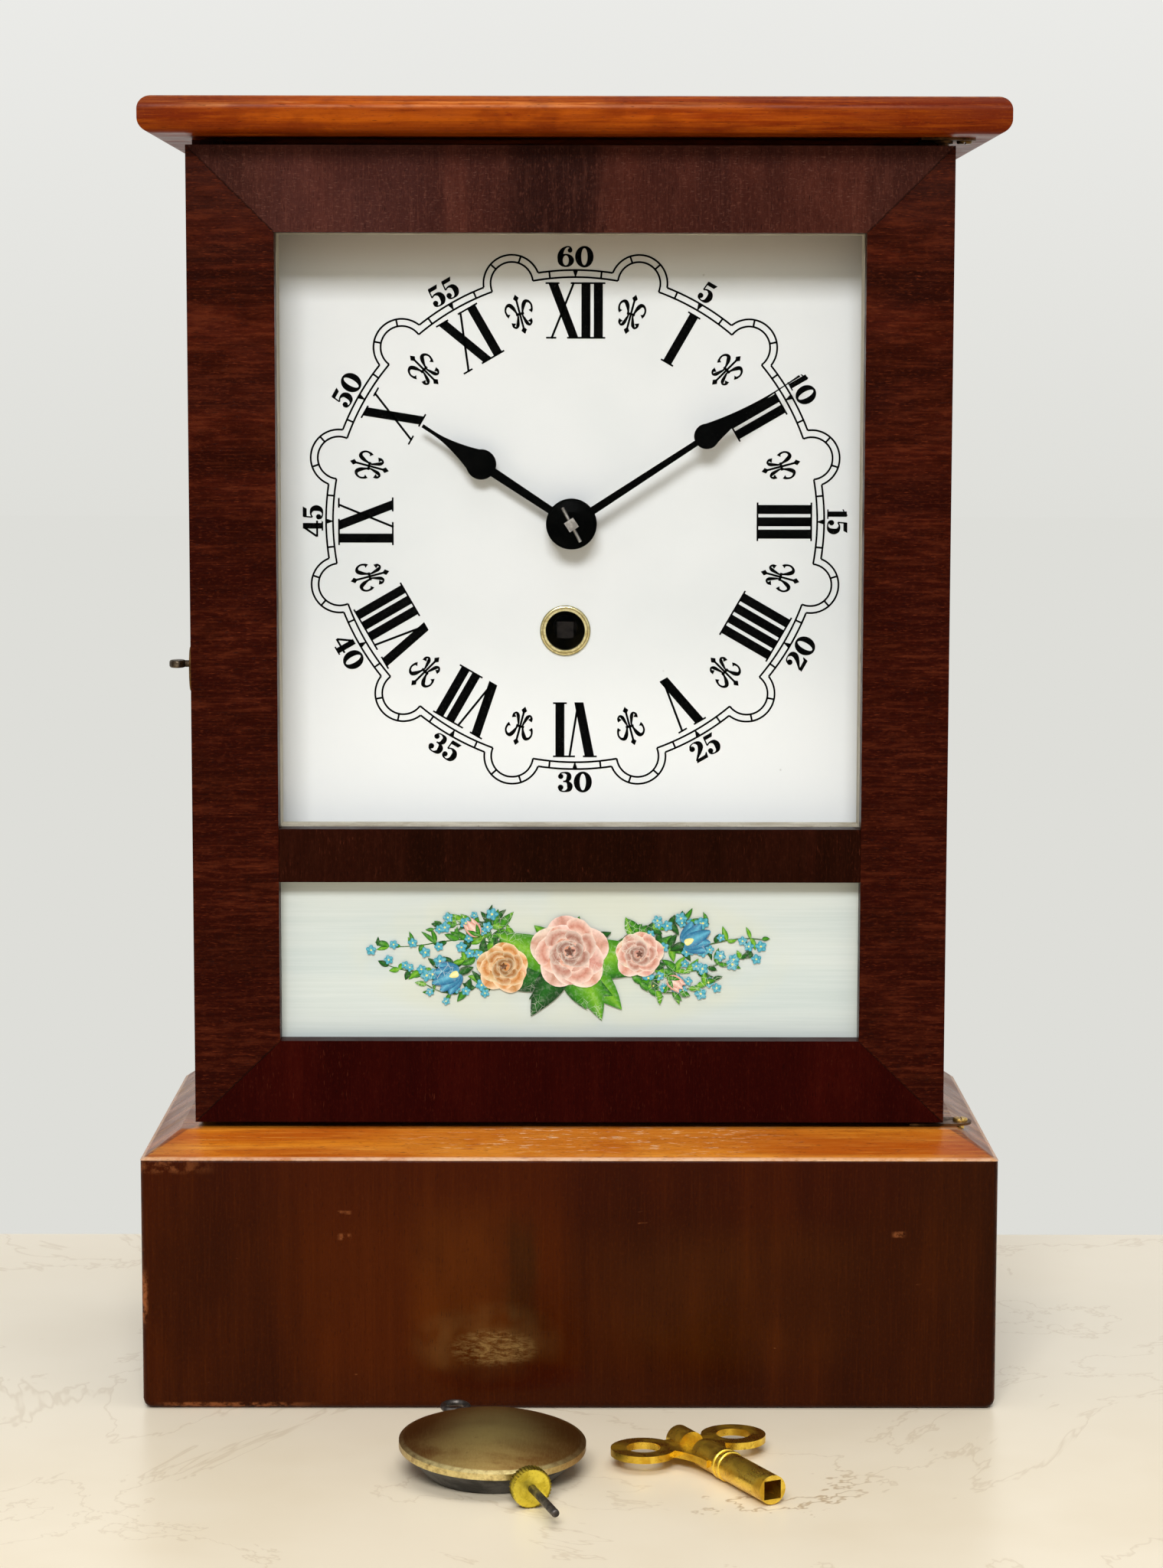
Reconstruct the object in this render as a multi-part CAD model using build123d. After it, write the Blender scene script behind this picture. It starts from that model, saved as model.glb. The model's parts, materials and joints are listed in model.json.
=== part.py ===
from build123d import *
import math
import os

os.makedirs("parts", exist_ok=True)

# A spring-driven cottage shelf clock with a flat top, in millimetres.
# Origin: centre of the base's footprint on the table. +Z is up and the front faces -Y.

# Base
base_width = 225.0
base_face_height = 66.8
base_board = 12.0
base_back_board = 8.0
base_corner_radius = 2.5
chamfer_rise = 6.0
chamfer_run_end = 9.5
chamfer_run_front = 11.6
glue_block_side = 18.0
base_bottom_thickness = 6.0

# Door
door_inset = 13.45
door_height = 255.4
door_thickness = 16.0
door_setback = 12.6
door_sill_gap = 1.7
stile_width = 22.6
top_rail_width = 22.2
middle_rail_width = 14.1
bottom_rail_width = 21.8
tablet_opening_height = 42.3
glass_setback = 6.0
glass_thickness = 2.0
glass_rebate = 5.0

# Case
case_gap = 1.0
case_side = 8.0
case_back = 6.0
case_back_rebate = 4.0
top_board_width = 221.8
top_board_shift = 1.1
top_board_thickness = 9.4
top_board_edge_radius = 3.6
top_board_overhang = 1.0
top_board_gap = 2.3
nail_radius = 0.8
nail_head_radius = 1.8
nail_head_height = 0.5
nail_length = 14.0
nail_end_margin = 24.0
nails_a_side = 4

# Hinges: a pivot plate at each end of the right stile
pivot_inset = 2.55
pivot_setback = 8.0
pivot_radius = 1.5
pivot_reach = 8.0
pivot_collar_radius = 2.6
pivot_collar_height = 0.7
running_clearance = 0.05
hinge_plate_thickness = 0.6
hinge_plate_depth = 9.0
hinge_plate_inner_reach = 6.0
hinge_reach_bottom = 8.4
hinge_reach_top = 6.0
hinge_screw_bottom = 5.4
hinge_screw_top = 3.0
hinge_screw_radius = 1.1
hinge_screw_length = 8.0
hinge_head_radius = 2.0
hinge_head_height = 0.8
hinge_slot_width = 0.6
hinge_slot_depth = 0.4

# Latch on the left stile
latch_height = 195.6
latch_setback = 8.0
spindle_radius = 1.15
knob_neck_radius = 0.9
knob_neck_length = 1.1
knob_length = 4.3
knob_width = 6.0
knob_thickness = 2.0
escutcheon_height = 12.1
escutcheon_width = 7.0
escutcheon_thickness = 1.0
escutcheon_edge = 0.6
escutcheon_drop = 1.35
tongue_thickness = 1.2
tongue_height = 3.0
tongue_reach = 15.4
tongue_hub_radius = 2.6
tongue_inset = 4.05
mortise_margin = 0.9
latch_blind_depth = 3.0
keeper_radius = 1.0
keeper_setback = 4.4
keeper_bite = 1.0
keeper_gap = 0.3

# Dial
dial_setback = 36.6
dial_thickness = 0.8
dial_side_gap = 0.5
dial_overlap = 9.0
dial_centre_x = 0.33
dial_centre_z = 231.95
dial_strip_width = 10.0
dial_strip_depth = 12.0
dial_pin_radius = 0.6
dial_pin_head_radius = 1.6
dial_pin_head_height = 0.6
dial_pin_length = 8.0
dial_pins_a_side = 3
dial_pin_margin = 12.0
grommet_radius = 6.75
grommet_throat_radius = 5.9
grommet_bore_radius = 5.25
grommet_lip = 0.8
grommet_tail = 1.2

# Hands
hand_thickness = 0.7
hour_hand_height = 4.3
minute_hand_height = 7.6
hour_hand_length = 47.0
minute_hand_length = 71.7
hour_hand_angle = 303.3
minute_hand_angle = 56.9
hour_hub_radius = 6.75
minute_hub_radius = 6.3
spade_radius = 3.35
hour_spade_place = 28.5
minute_spade_place = 42.6
taper_waist_share = 0.36
taper_waist_half = 1.15
hand_tip_half = 0.3
stem_root_half = 1.1
stem_end_half = 0.75
washer_radius = 6.1
washer_flange = 0.4
washer_dome = 0.9
washer_top_radius = 3.4
arbor_square = 2.8
arbor_square_reach = 3.6
taper_pin_radius = 0.45
taper_pin_length = 10.2
taper_pin_angle = -28.0

# Movement: two brass plates on four pillars
front_plate_setback = 50.0
plate_thickness = 1.5
plate_spacing = 34.0
plate_half_width = 33.0
plate_foot = 58.0
plate_head = 66.0
plate_corner_radius = 6.0
window_corner_radius = 3.0
pillar_inset = 6.3
pillar_margin = 7.0
pillar_radius = 2.5
pillar_stud_radius = 1.4
pillar_nut_flats = 5.0
pillar_nut_height = 2.2
movement_screw_radius = 1.5
movement_screw_head_radius = 3.2
movement_screw_head_height = 1.6
movement_screw_length = 15.0
movement_screw_inset = 4.2
movement_screw_low = 38.0
movement_screw_high = 46.0
movement_rail_width = 10.0
movement_rail_margin = 5.0
pivot_pin_radius = 1.0
arbor_radius = 1.6
shoulder_gap = 0.2
train_arbor_radius = 1.5

# Winding arbor, great wheel and mainspring
winding_drop = 28.65
winding_shift = -1.61
winding_arbor_radius = 3.2
winding_back_pivot = 2.0
winding_square = 4.4
winding_square_reach = 10.0
great_teeth = 78
centre_leaves = 12
great_wheel_place = 8.5
great_wheel_thickness = 1.6
ratchet_teeth = 24
ratchet_radius = 9.0
ratchet_depth = 1.5
ratchet_thickness = 1.6
click_pivot_distance = 14.5
click_pivot_angle = 112.0
click_pivot_radius = 1.2
click_body_radius = 2.4
click_gap = 0.25
click_tip_half = 0.35
click_spring_wire = 0.45
click_spring_gap = 0.3
click_lift_room = 1.3
mainspring_strip = 0.7
mainspring_gap = 0.9
mainspring_width = 15.0
mainspring_place = 14.5
mainspring_bore_gap = 0.5
mainspring_half_turns = 18

# Going train
centre_wheel_teeth = 78
pinion_leaves = 7
train_module = 0.62
third_wheel_teeth = 66
escape_module = 0.6
third_angle = 125.0
wheel_thickness = 1.2
centre_wheel_place = 2.5
centre_pinion_place = 7.0
centre_pinion_length = 4.6
centre_pipe_radius = 2.6
third_pinion_length = 4.0
third_wheel_place = 18.5
escape_pinion_length = 4.0
escape_wheel_place = 25.5
escape_teeth = 42
escape_radius = 13.0
escape_tooth = 1.7
trundle_radius = 0.32
shroud_thickness = 0.8
shroud_margin = 0.9
hub_radius = 3.2
hub_extra = 1.4
rim_width = 2.6
spoke_width = 2.2
spokes = 5

# Verge and pendulum
verge_rise = 17.5
verge_clearance = 1.0
verge_strip = 1.2
verge_width = 4.0
verge_half_angle = 38.0
verge_stem_width = 3.0
verge_hub_radius = 2.2
crutch_offset = 4.5
crutch_radius = 0.6
crutch_length = 38.0
crutch_eye = 2.2
crutch_boss_radius = 1.8
crutch_boss_length = 2.0
rod_setback = 10.0
pendulum_room = 11.0
rod_radius = 0.8
rod_hook_radius = 2.6
rod_length = 128.0
suspension_strip = 0.3
suspension_width = 4.0
suspension_length = 14.0
suspension_grip = 4.5
suspension_block = 5.0
post_width = 6.0
post_height = 7.0
post_slit = 1.1

# Motion work between the front plate and the dial
motion_distance = 15.0
motion_angle = 215.0
cannon_leaves = 12
minute_wheel_teeth = 36
minute_leaves = 10
hour_wheel_teeth = 40
motion_wheel_thickness = 1.1
minute_wheel_place = 2.6
cannon_length = 3.6
hour_wheel_place = 6.6
minute_pinion_length = 3.4
hour_pipe_bore = 1.66
hour_pipe_radius = 2.9
minute_post_radius = 1.4
minute_post_head_radius = 2.2
minute_post_head_height = 0.7
tooth_root_share = 0.46
tooth_tip_share = 0.2
leaf_root_share = 0.4
leaf_tip_share = 0.16
addendum_share = 0.85
dedendum_share = 1.25

# Pendulum bob, laid on the table in front of the clock
bob_x = -19.0
bob_ahead = 55.5
bob_turn = 20.2
bob_tilt = 4.0
bob_radius = 23.25
bob_rise = 5.2
bob_rim = 1.6
bob_shell_wall = 0.6
bob_rim_lift = 1.6
bob_back_radius = 17.0
bob_back_drop = 5.7
bob_rod_radius = 1.0
bob_rod_front = 46.4
bob_rod_back = 26.0
bob_loop_radius = 3.1
bob_loop_wire = 0.8
nut_place = 28.2
nut_radius = 5.0
nut_root_radius = 4.7
nut_thickness = 3.0
nut_ridges = 36

# Winding key, laid on the table in front of the clock
key_x = 30.1
key_ahead = 43.2
key_turn = 27.0
key_barrel_radius = 3.6
key_barrel_start = 8.0
key_barrel_end = 42.0
key_collar_place = 18.8
key_collar_radius = 3.9
key_collar_width = 1.5
key_collar_pitch = 2.3
key_socket_depth = 14.0
key_socket_clearance = 0.1
key_plate_thickness = 1.8
key_wing_radius = 8.2
key_wing_hole = 4.3
key_wing_offset = 12.9
key_neck_back = 3.2
key_neck_front = 3.6
key_neck_half = 9.0
key_throat_end = 17.0
key_throat_half = 4.3
key_throat_waist = 5.2
key_stub_radius = 3.5
key_stub_back = 5.5
key_stub_front = 1.5
key_rivet_radius = 0.8
key_rivet_height = 0.5
key_rivet_place = 5.0

# Working allowance for cuts that pass right through a piece
overrun = 1.0

# Places that follow from the sizes above
base_depth = front_plate_setback + 2 * plate_thickness + plate_spacing + rod_setback + pendulum_room + case_back
front_y = -base_depth / 2
back_y = base_depth / 2
base_top_z = base_face_height + chamfer_rise
door_front = front_y + door_setback
door_back = door_front + door_thickness
door_bottom = base_top_z + door_sill_gap
door_top = door_bottom + door_height
door_half = base_width / 2 - door_inset
opening_half = door_half - stile_width
tablet_low = door_bottom + bottom_rail_width
tablet_high = tablet_low + tablet_opening_height
window_low = tablet_high + middle_rail_width
window_high = door_top - top_rail_width
top_board_z = door_top + top_board_gap
case_front = door_back + case_gap
case_inner = door_half - case_side
dial_front = front_y + dial_setback
dial_back = dial_front + dial_thickness
plate_front = front_y + front_plate_setback
plate_inner = plate_front + plate_thickness
back_plate_front = plate_inner + plate_spacing
back_plate_back = back_plate_front + plate_thickness
board_front = back_y - case_back
winding_x = dial_centre_x + winding_shift
winding_z = dial_centre_z - winding_drop


def block(x0, x1, y0, y1, z0, z1):
    """A rectangular piece between two corners."""
    middle = Pos((x0 + x1) / 2, (y0 + y1) / 2, (z0 + z1) / 2)
    return middle * Box(x1 - x0, y1 - y0, z1 - z0)


def bar_x(y, z, radius, x0, x1):
    return Pos((x0 + x1) / 2, y, z) * Rot(0, 90, 0) * Cylinder(radius, x1 - x0)


def bar_y(x, z, radius, y0, y1):
    return Pos(x, (y0 + y1) / 2, z) * Rot(90, 0, 0) * Cylinder(radius, y1 - y0)


def bar_z(x, y, radius, z0, z1):
    return Pos(x, y, (z0 + z1) / 2) * Cylinder(radius, z1 - z0)


def plate(outline, y0, y1):
    """A flat outline drawn in X and Z, given its thickness from y0 back to y1."""
    return extrude(Plane.XZ.offset(-y0) * outline, y1 - y0, dir=(0, 1, 0))


def polar(x, z, distance, angle):
    """The point at a distance and an angle, in degrees from +X towards +Z."""
    turn = math.radians(angle)
    return x + distance * math.cos(turn), z + distance * math.sin(turn)


def save(name, *solids):
    """Write one node: a solid, or a group of like solids."""
    shape = solids[0] if len(solids) == 1 else Compound(children=list(solids))
    export_step(shape, "parts/" + name + ".step")


def gear(teeth, pitch_radius, root_share, tip_share, phase):
    """A wheel's outline with straight-sided teeth, one of them centred on the phase angle."""
    module = 2 * pitch_radius / teeth
    root = pitch_radius - dedendum_share * module
    tip = pitch_radius + addendum_share * module
    step = 360 / teeth
    points = []
    for tooth in range(teeth):
        centre = phase + tooth * step
        points.append(polar(0, 0, root, centre - step * root_share / 2))
        points.append(polar(0, 0, tip, centre - step * tip_share / 2))
        points.append(polar(0, 0, tip, centre + step * tip_share / 2))
        points.append(polar(0, 0, root, centre + step * root_share / 2))
    return make_face(Polyline(*points, close=True))


def crossings(outer_radius, inner_radius, phase):
    """The open sectors between a wheel's spokes."""
    openings = Circle(outer_radius) - Circle(inner_radius)
    for spoke in range(spokes):
        turn = phase + spoke * 360 / spokes
        arm = Pos(outer_radius / 2, 0) * Rectangle(outer_radius + spoke_width, spoke_width)
        openings -= Rot(0, 0, turn) * arm
    return openings


def wheel(teeth, pitch_radius, phase, bore, y0, thickness):
    """A crossed-out brass wheel with its hub, at the origin of X and Z."""
    module = 2 * pitch_radius / teeth
    rim = pitch_radius - dedendum_share * module - rim_width
    outline = gear(teeth, pitch_radius, tooth_root_share, tooth_tip_share, phase)
    outline -= crossings(rim, hub_radius + spoke_width, phase)
    body = plate(outline, y0, y0 + thickness)
    body += bar_y(0, 0, hub_radius, y0 - hub_extra, y0 + thickness + hub_extra)
    if bore > 0:
        body -= bar_y(0, 0, bore, y0 - hub_extra - overrun, y0 + thickness + hub_extra + overrun)
    return body


def lantern(leaves, pitch_radius, phase, y0, length):
    """A lantern pinion: round trundles between two shrouds."""
    shroud = pitch_radius + shroud_margin
    body = bar_y(0, 0, shroud, y0 - shroud_thickness, y0)
    body += bar_y(0, 0, shroud, y0 + length, y0 + length + shroud_thickness)
    for leaf in range(leaves):
        x, z = polar(0, 0, pitch_radius, phase + leaf * 360 / leaves)
        body += bar_y(x, z, trundle_radius, y0 - shroud_thickness / 2, y0 + length + shroud_thickness / 2)
    return body


# Places of the arbors
great_distance = math.hypot(winding_drop, winding_shift)
great_pitch = great_distance * great_teeth / (great_teeth + centre_leaves)
centre_pinion_pitch = great_distance - great_pitch
great_to_centre = math.degrees(math.atan2(winding_drop, -winding_shift))
centre_pitch = train_module * centre_wheel_teeth / 2
third_pinion_pitch = train_module * pinion_leaves / 2
third_x, third_z = polar(dial_centre_x, dial_centre_z, centre_pitch + third_pinion_pitch, third_angle)
third_pitch = escape_module * third_wheel_teeth / 2
escape_pinion_pitch = escape_module * pinion_leaves / 2
escape_distance = third_pitch + escape_pinion_pitch
escape_x = dial_centre_x
escape_z = third_z + math.sqrt(escape_distance**2 - (escape_x - third_x) ** 2)
escape_angle = math.degrees(math.atan2(escape_z - third_z, escape_x - third_x))
verge_z = escape_z + verge_rise
minute_x, minute_z = polar(dial_centre_x, dial_centre_z, motion_distance, motion_angle)
rod_y = back_plate_back + rod_setback
plate_low = winding_z - (plate_foot - winding_drop)
plate_high = dial_centre_z + plate_head


def make_base():
    """The plinth: a box of boards under a chamfered top."""
    half = base_width / 2
    inner = half - base_board
    front = block(-half, half, front_y, front_y + base_board, 0, base_face_height)
    corners = front.edges().filter_by(Axis.Z).group_by(Axis.Y)[0]
    front = fillet(corners, base_corner_radius)
    save("base_front", front)
    screw_hole = bar_z(hinge_x(hinge_screw_bottom), pivot_y(), hinge_screw_radius,
                       screw_low(), base_top_z + overrun)
    ends = []
    for side in (-1, 1):
        x0, x1 = sorted((side * inner, side * half))
        ends.append(block(x0, x1, front_y + base_board, back_y, 0, base_face_height) - screw_hole)
    save("base_ends", *ends)
    save("base_back", block(-inner, inner, back_y - base_back_board, back_y, 0, base_face_height))
    blocks = []
    for side in (-1, 1):
        for y0, y1 in ((front_y + base_board, front_y + base_board + glue_block_side),
                       (back_y - base_back_board - glue_block_side, back_y - base_back_board)):
            x0, x1 = sorted((side * inner, side * (inner - glue_block_side)))
            blocks.append(block(x0, x1, y0, y1, base_bottom_thickness, base_face_height) - screw_hole)
    save("base_glue_blocks", *blocks)
    save("base_bottom", block(-inner, inner, front_y + base_board, back_y - base_back_board,
                              0, base_bottom_thickness))

    lower = Pos(0, 0, base_face_height) * Rectangle(base_width, base_depth)
    upper_depth = base_depth - chamfer_run_front
    upper = Pos(0, chamfer_run_front / 2, base_top_z)
    upper = upper * Rectangle(base_width - 2 * chamfer_run_end, upper_depth)
    top = loft([lower, upper], ruled=True)
    slant = [e for e in top.edges() if base_face_height < e.center().Z < base_top_z and e.center().Y < 0]
    top = fillet(slant, base_corner_radius)
    save("base_top", top - screw_hole)


def hinge_x(reach):
    """A place past the door's right edge."""
    return door_half + reach


def pivot_y():
    return door_front + pivot_setback


def screw_low():
    return base_top_z + hinge_plate_thickness - hinge_screw_length - hinge_plate_thickness


def screw_high():
    return top_board_z - hinge_plate_thickness + hinge_screw_length + hinge_plate_thickness


def nail_places():
    step = (top_board_z - base_top_z - 2 * nail_end_margin) / (nails_a_side - 1)
    for side in (-1, 1):
        for place in range(nails_a_side):
            yield side * (case_inner + case_back_rebate / 2), base_top_z + nail_end_margin + place * step


def make_case():
    """The body of the clock: two sides, a nailed back and the flat top."""
    sides = []
    for side in (-1, 1):
        x0, x1 = sorted((side * case_inner, side * door_half))
        board = block(x0, x1, case_front, back_y, base_top_z, top_board_z)
        r0, r1 = sorted((side * (case_inner - overrun), side * (case_inner + case_back_rebate)))
        board -= block(r0, r1, board_front, back_y + overrun, base_top_z - overrun, top_board_z + overrun)
        sides.append(board)
    left, right = sides
    slot_half = tongue_thickness / 2 + mortise_margin
    tongue_x = -door_half + tongue_inset
    keeper_y = case_front + keeper_setback
    keeper_z = latch_height - tongue_height / 2 - keeper_gap - keeper_radius
    left -= block(tongue_x - slot_half, tongue_x + slot_half, case_front - overrun,
                  case_front + tongue_reach / 2 + mortise_margin,
                  keeper_z - keeper_radius - keeper_gap, latch_height + tongue_reach)
    bite = slot_half + keeper_bite
    left -= bar_x(keeper_y, keeper_z, keeper_radius, tongue_x - bite, tongue_x + bite)
    save("latch_keeper", bar_x(keeper_y, keeper_z, keeper_radius, tongue_x - bite, tongue_x + bite))
    reach = case_inner + case_back_rebate
    back = block(-reach, reach, board_front, back_y, base_top_z, top_board_z)
    nails = []
    for x, z in nail_places():
        hole = bar_y(x, z, nail_radius, back_y - nail_length, back_y + overrun)
        left -= hole
        right -= hole
        back -= hole
        shank = bar_y(x, z, nail_radius, back_y - nail_length, back_y)
        nails.append(shank + bar_y(x, z, nail_head_radius, back_y, back_y + nail_head_height))
    save("case_side_left", left)
    save("case_side_right", right)
    save("case_back", back)
    save("case_back_nails", *nails)

    half = top_board_width / 2
    top = block(top_board_shift - half, top_board_shift + half, front_y - top_board_overhang,
                back_y, top_board_z, top_board_z + top_board_thickness)
    rims = top.edges().filter_by(Axis.Z, reverse=True)
    rims = [e for e in rims if e.center().Y < back_y - overrun]
    top = fillet(rims, top_board_edge_radius)
    top -= bar_z(hinge_x(hinge_screw_top), pivot_y(), hinge_screw_radius,
                 top_board_z - overrun, screw_high())
    save("top_board", top)


def make_hinges():
    """Two pivot plates, each held by a round-headed slotted screw."""
    plates = []
    screws = []
    for end in (-1, 1):
        low = end < 0
        seat = base_top_z if low else top_board_z
        face = seat - end * hinge_plate_thickness
        reach = hinge_reach_bottom if low else hinge_reach_top
        screw_x = hinge_x(hinge_screw_bottom if low else hinge_screw_top)
        pivot_x = door_half - pivot_inset
        z0, z1 = sorted((seat, face))
        tail = hinge_x(reach) - hinge_plate_depth / 2
        leaf = block(pivot_x - hinge_plate_inner_reach, tail, pivot_y() - hinge_plate_depth / 2,
                     pivot_y() + hinge_plate_depth / 2, z0, z1)
        leaf += bar_z(tail, pivot_y(), hinge_plate_depth / 2, z0, z1)
        collar = face - end * pivot_collar_height
        leaf += bar_z(pivot_x, pivot_y(), pivot_collar_radius, *sorted((face, collar)))
        door_end = door_bottom if low else door_top
        tip = door_end - end * pivot_reach
        leaf += bar_z(pivot_x, pivot_y(), pivot_radius, *sorted((face, tip)))
        leaf -= bar_z(screw_x, pivot_y(), hinge_screw_radius, z0 - overrun, z1 + overrun)
        plates.append(leaf)
        shank_end = screw_low() if low else screw_high()
        screw = bar_z(screw_x, pivot_y(), hinge_screw_radius, *sorted((face, shank_end)))
        head_top = face - end * hinge_head_height
        head = bar_z(screw_x, pivot_y(), hinge_head_radius, *sorted((face, head_top)))
        crown = head.edges().group_by(Axis.Z)[-1 if low else 0]
        head = fillet(crown, hinge_head_height - hinge_slot_width / 2)
        slot_z = sorted((head_top + end * hinge_slot_depth, head_top - end * overrun))
        head -= block(screw_x - hinge_slot_width / 2, screw_x + hinge_slot_width / 2,
                      pivot_y() - hinge_head_radius - overrun, pivot_y() + hinge_head_radius + overrun,
                      *slot_z)
        screws.append(screw + head)
    save("hinge_plates", *plates)
    save("hinge_screws", *screws)


def door_rebates():
    """The rebates for both glasses, cut into the back of the frame."""
    cuts = []
    for low, high in ((tablet_low, tablet_high), (window_low, window_high)):
        cuts.append(block(-opening_half - glass_rebate, opening_half + glass_rebate,
                          door_front + glass_setback, door_back + overrun,
                          low - glass_rebate, high + glass_rebate))
    return cuts


def make_door():
    """The glazed door: mitred stiles and rails, two glasses and their beads."""
    def framed(points):
        outline = make_face(Polyline(*points, close=True))
        return plate(outline, door_front, door_back)

    inner_low = tablet_low
    inner_high = window_high
    left = framed([(-door_half, door_bottom), (-opening_half, inner_low),
                   (-opening_half, inner_high), (-door_half, door_top)])
    right = framed([(door_half, door_bottom), (door_half, door_top),
                    (opening_half, inner_high), (opening_half, inner_low)])
    top = framed([(-door_half, door_top), (-opening_half, inner_high),
                  (opening_half, inner_high), (door_half, door_top)])
    bottom = framed([(-door_half, door_bottom), (door_half, door_bottom),
                     (opening_half, inner_low), (-opening_half, inner_low)])
    middle = block(-opening_half, opening_half, door_front, door_back, tablet_high, window_low)
    cuts = door_rebates()
    left, right, top, bottom, middle = [piece - cuts for piece in (left, right, top, bottom, middle)]

    pivot_x = door_half - pivot_inset
    socket = pivot_radius + running_clearance
    depth = pivot_reach + overrun
    for z0, z1 in ((door_bottom - overrun, door_bottom + depth), (door_top - depth, door_top + overrun)):
        hole = bar_z(pivot_x, pivot_y(), socket, z0, z1)
        right -= hole
        top -= hole
        bottom -= hole

    latch_y = door_front + latch_setback
    tongue_x = -door_half + tongue_inset
    slot_half = tongue_thickness / 2 + mortise_margin
    spindle_end = tongue_x + slot_half + latch_blind_depth
    left -= bar_x(latch_y, latch_height, spindle_radius + running_clearance,
                  -door_half - overrun, spindle_end + overrun)
    left -= block(tongue_x - slot_half, tongue_x + slot_half, latch_y - tongue_hub_radius - mortise_margin,
                  door_back + overrun, latch_height - tongue_hub_radius - mortise_margin,
                  latch_height + tongue_reach + mortise_margin)
    save("door_stile_left", left)
    save("door_stile_right", right)
    save("door_rail_top", top)
    save("door_rail_bottom", bottom)
    save("door_rail_middle", middle)

    glass_front = door_front + glass_setback
    glass_back = glass_front + glass_thickness
    beads = []
    for name, low, high in (("tablet_glass", tablet_low, tablet_high), ("dial_glass", window_low, window_high)):
        wide = opening_half + glass_rebate
        save(name, block(-wide, wide, glass_front, glass_back, low - glass_rebate, high + glass_rebate))
        for side in (-1, 1):
            x0, x1 = sorted((side * opening_half, side * wide))
            beads.append(block(x0, x1, glass_back, door_back, low - glass_rebate, high + glass_rebate))
        beads.append(block(-opening_half, opening_half, glass_back, door_back, low - glass_rebate, low))
        beads.append(block(-opening_half, opening_half, glass_back, door_back, high, high + glass_rebate))
    save("glass_beads", *beads)

    # Latch: escutcheon, thumb knob on its spindle, and the tongue behind the stile
    rose = Plane.YZ.offset(-door_half) * Pos(latch_y, latch_height - escutcheon_drop)
    rose = extrude(rose * Ellipse(escutcheon_width / 2, escutcheon_height / 2),
                   escutcheon_thickness, dir=(-1, 0, 0))
    rose = fillet(rose.edges().group_by(Axis.X)[0], escutcheon_edge)
    rose -= bar_x(latch_y, latch_height, spindle_radius + running_clearance,
                  -door_half - escutcheon_thickness - overrun, -door_half + overrun)
    save("latch_escutcheon", rose)
    neck_end = -door_half - escutcheon_thickness - knob_neck_length
    knob = bar_x(latch_y, latch_height, spindle_radius, -door_half - escutcheon_thickness, spindle_end)
    knob += bar_x(latch_y, latch_height, knob_neck_radius, neck_end - knob_length / 2,
                  -door_half - escutcheon_thickness)
    grip = Pos(neck_end - knob_length / 2, latch_y, latch_height - knob_thickness / 2)
    grip = extrude(grip * Ellipse(knob_length / 2, knob_width / 2), knob_thickness)
    grip = fillet(grip.edges(), escutcheon_edge)
    knob += grip
    tongue = bar_x(latch_y, latch_height, tongue_hub_radius, tongue_x - tongue_thickness / 2,
                   tongue_x + tongue_thickness / 2)
    tongue += block(tongue_x - tongue_thickness / 2, tongue_x + tongue_thickness / 2, latch_y,
                    latch_y + tongue_reach, latch_height - tongue_height / 2, latch_height + tongue_height / 2)
    tongue -= bar_x(latch_y, latch_height, spindle_radius, tongue_x - slot_half, tongue_x + slot_half)
    save("latch_knob", knob)
    save("latch_tongue", tongue)


def make_dial():
    """The dial plate on its side strips, with pins and the brass winding grommet."""
    half = case_inner - dial_side_gap
    low = window_low - dial_overlap
    high = window_high + dial_overlap
    sheet = block(-half, half, dial_front, dial_back, low, high)
    sheet -= bar_y(dial_centre_x, dial_centre_z, hour_pipe_radius + overrun,
                   dial_front - overrun, dial_back + overrun)
    sheet -= bar_y(winding_x, winding_z, grommet_throat_radius, dial_front - overrun, dial_back + overrun)
    strips = []
    pins = []
    pin_step = (high - low - 2 * dial_pin_margin) / (dial_pins_a_side - 1)
    for side in (-1, 1):
        x0, x1 = sorted((side * case_inner, side * (case_inner - dial_strip_width)))
        strip = block(x0, x1, dial_back, dial_back + dial_strip_depth, low, high)
        x = side * (case_inner - dial_strip_width / 2)
        for place in range(dial_pins_a_side):
            z = low + dial_pin_margin + place * pin_step
            hole = bar_y(x, z, dial_pin_radius, dial_front - overrun, dial_front + dial_pin_length)
            sheet -= hole
            strip -= hole
            pin = bar_y(x, z, dial_pin_radius, dial_front, dial_front + dial_pin_length)
            pins.append(pin + bar_y(x, z, dial_pin_head_radius, dial_front - dial_pin_head_height, dial_front))
        strips.append(strip)
    save("dial_plate", sheet)
    save("dial_strips", *strips)
    save("dial_pins", *pins)
    lip = bar_y(winding_x, winding_z, grommet_radius, dial_front - grommet_lip, dial_front)
    lip = fillet(lip.edges().group_by(Axis.Y)[0], grommet_lip - hinge_plate_thickness / 2)
    grommet = lip + bar_y(winding_x, winding_z, grommet_throat_radius, dial_front, dial_back + grommet_tail)
    grommet -= bar_y(winding_x, winding_z, grommet_bore_radius,
                     dial_front - grommet_lip - overrun, dial_back + grommet_tail + overrun)
    save("winding_grommet", grommet)


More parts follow.
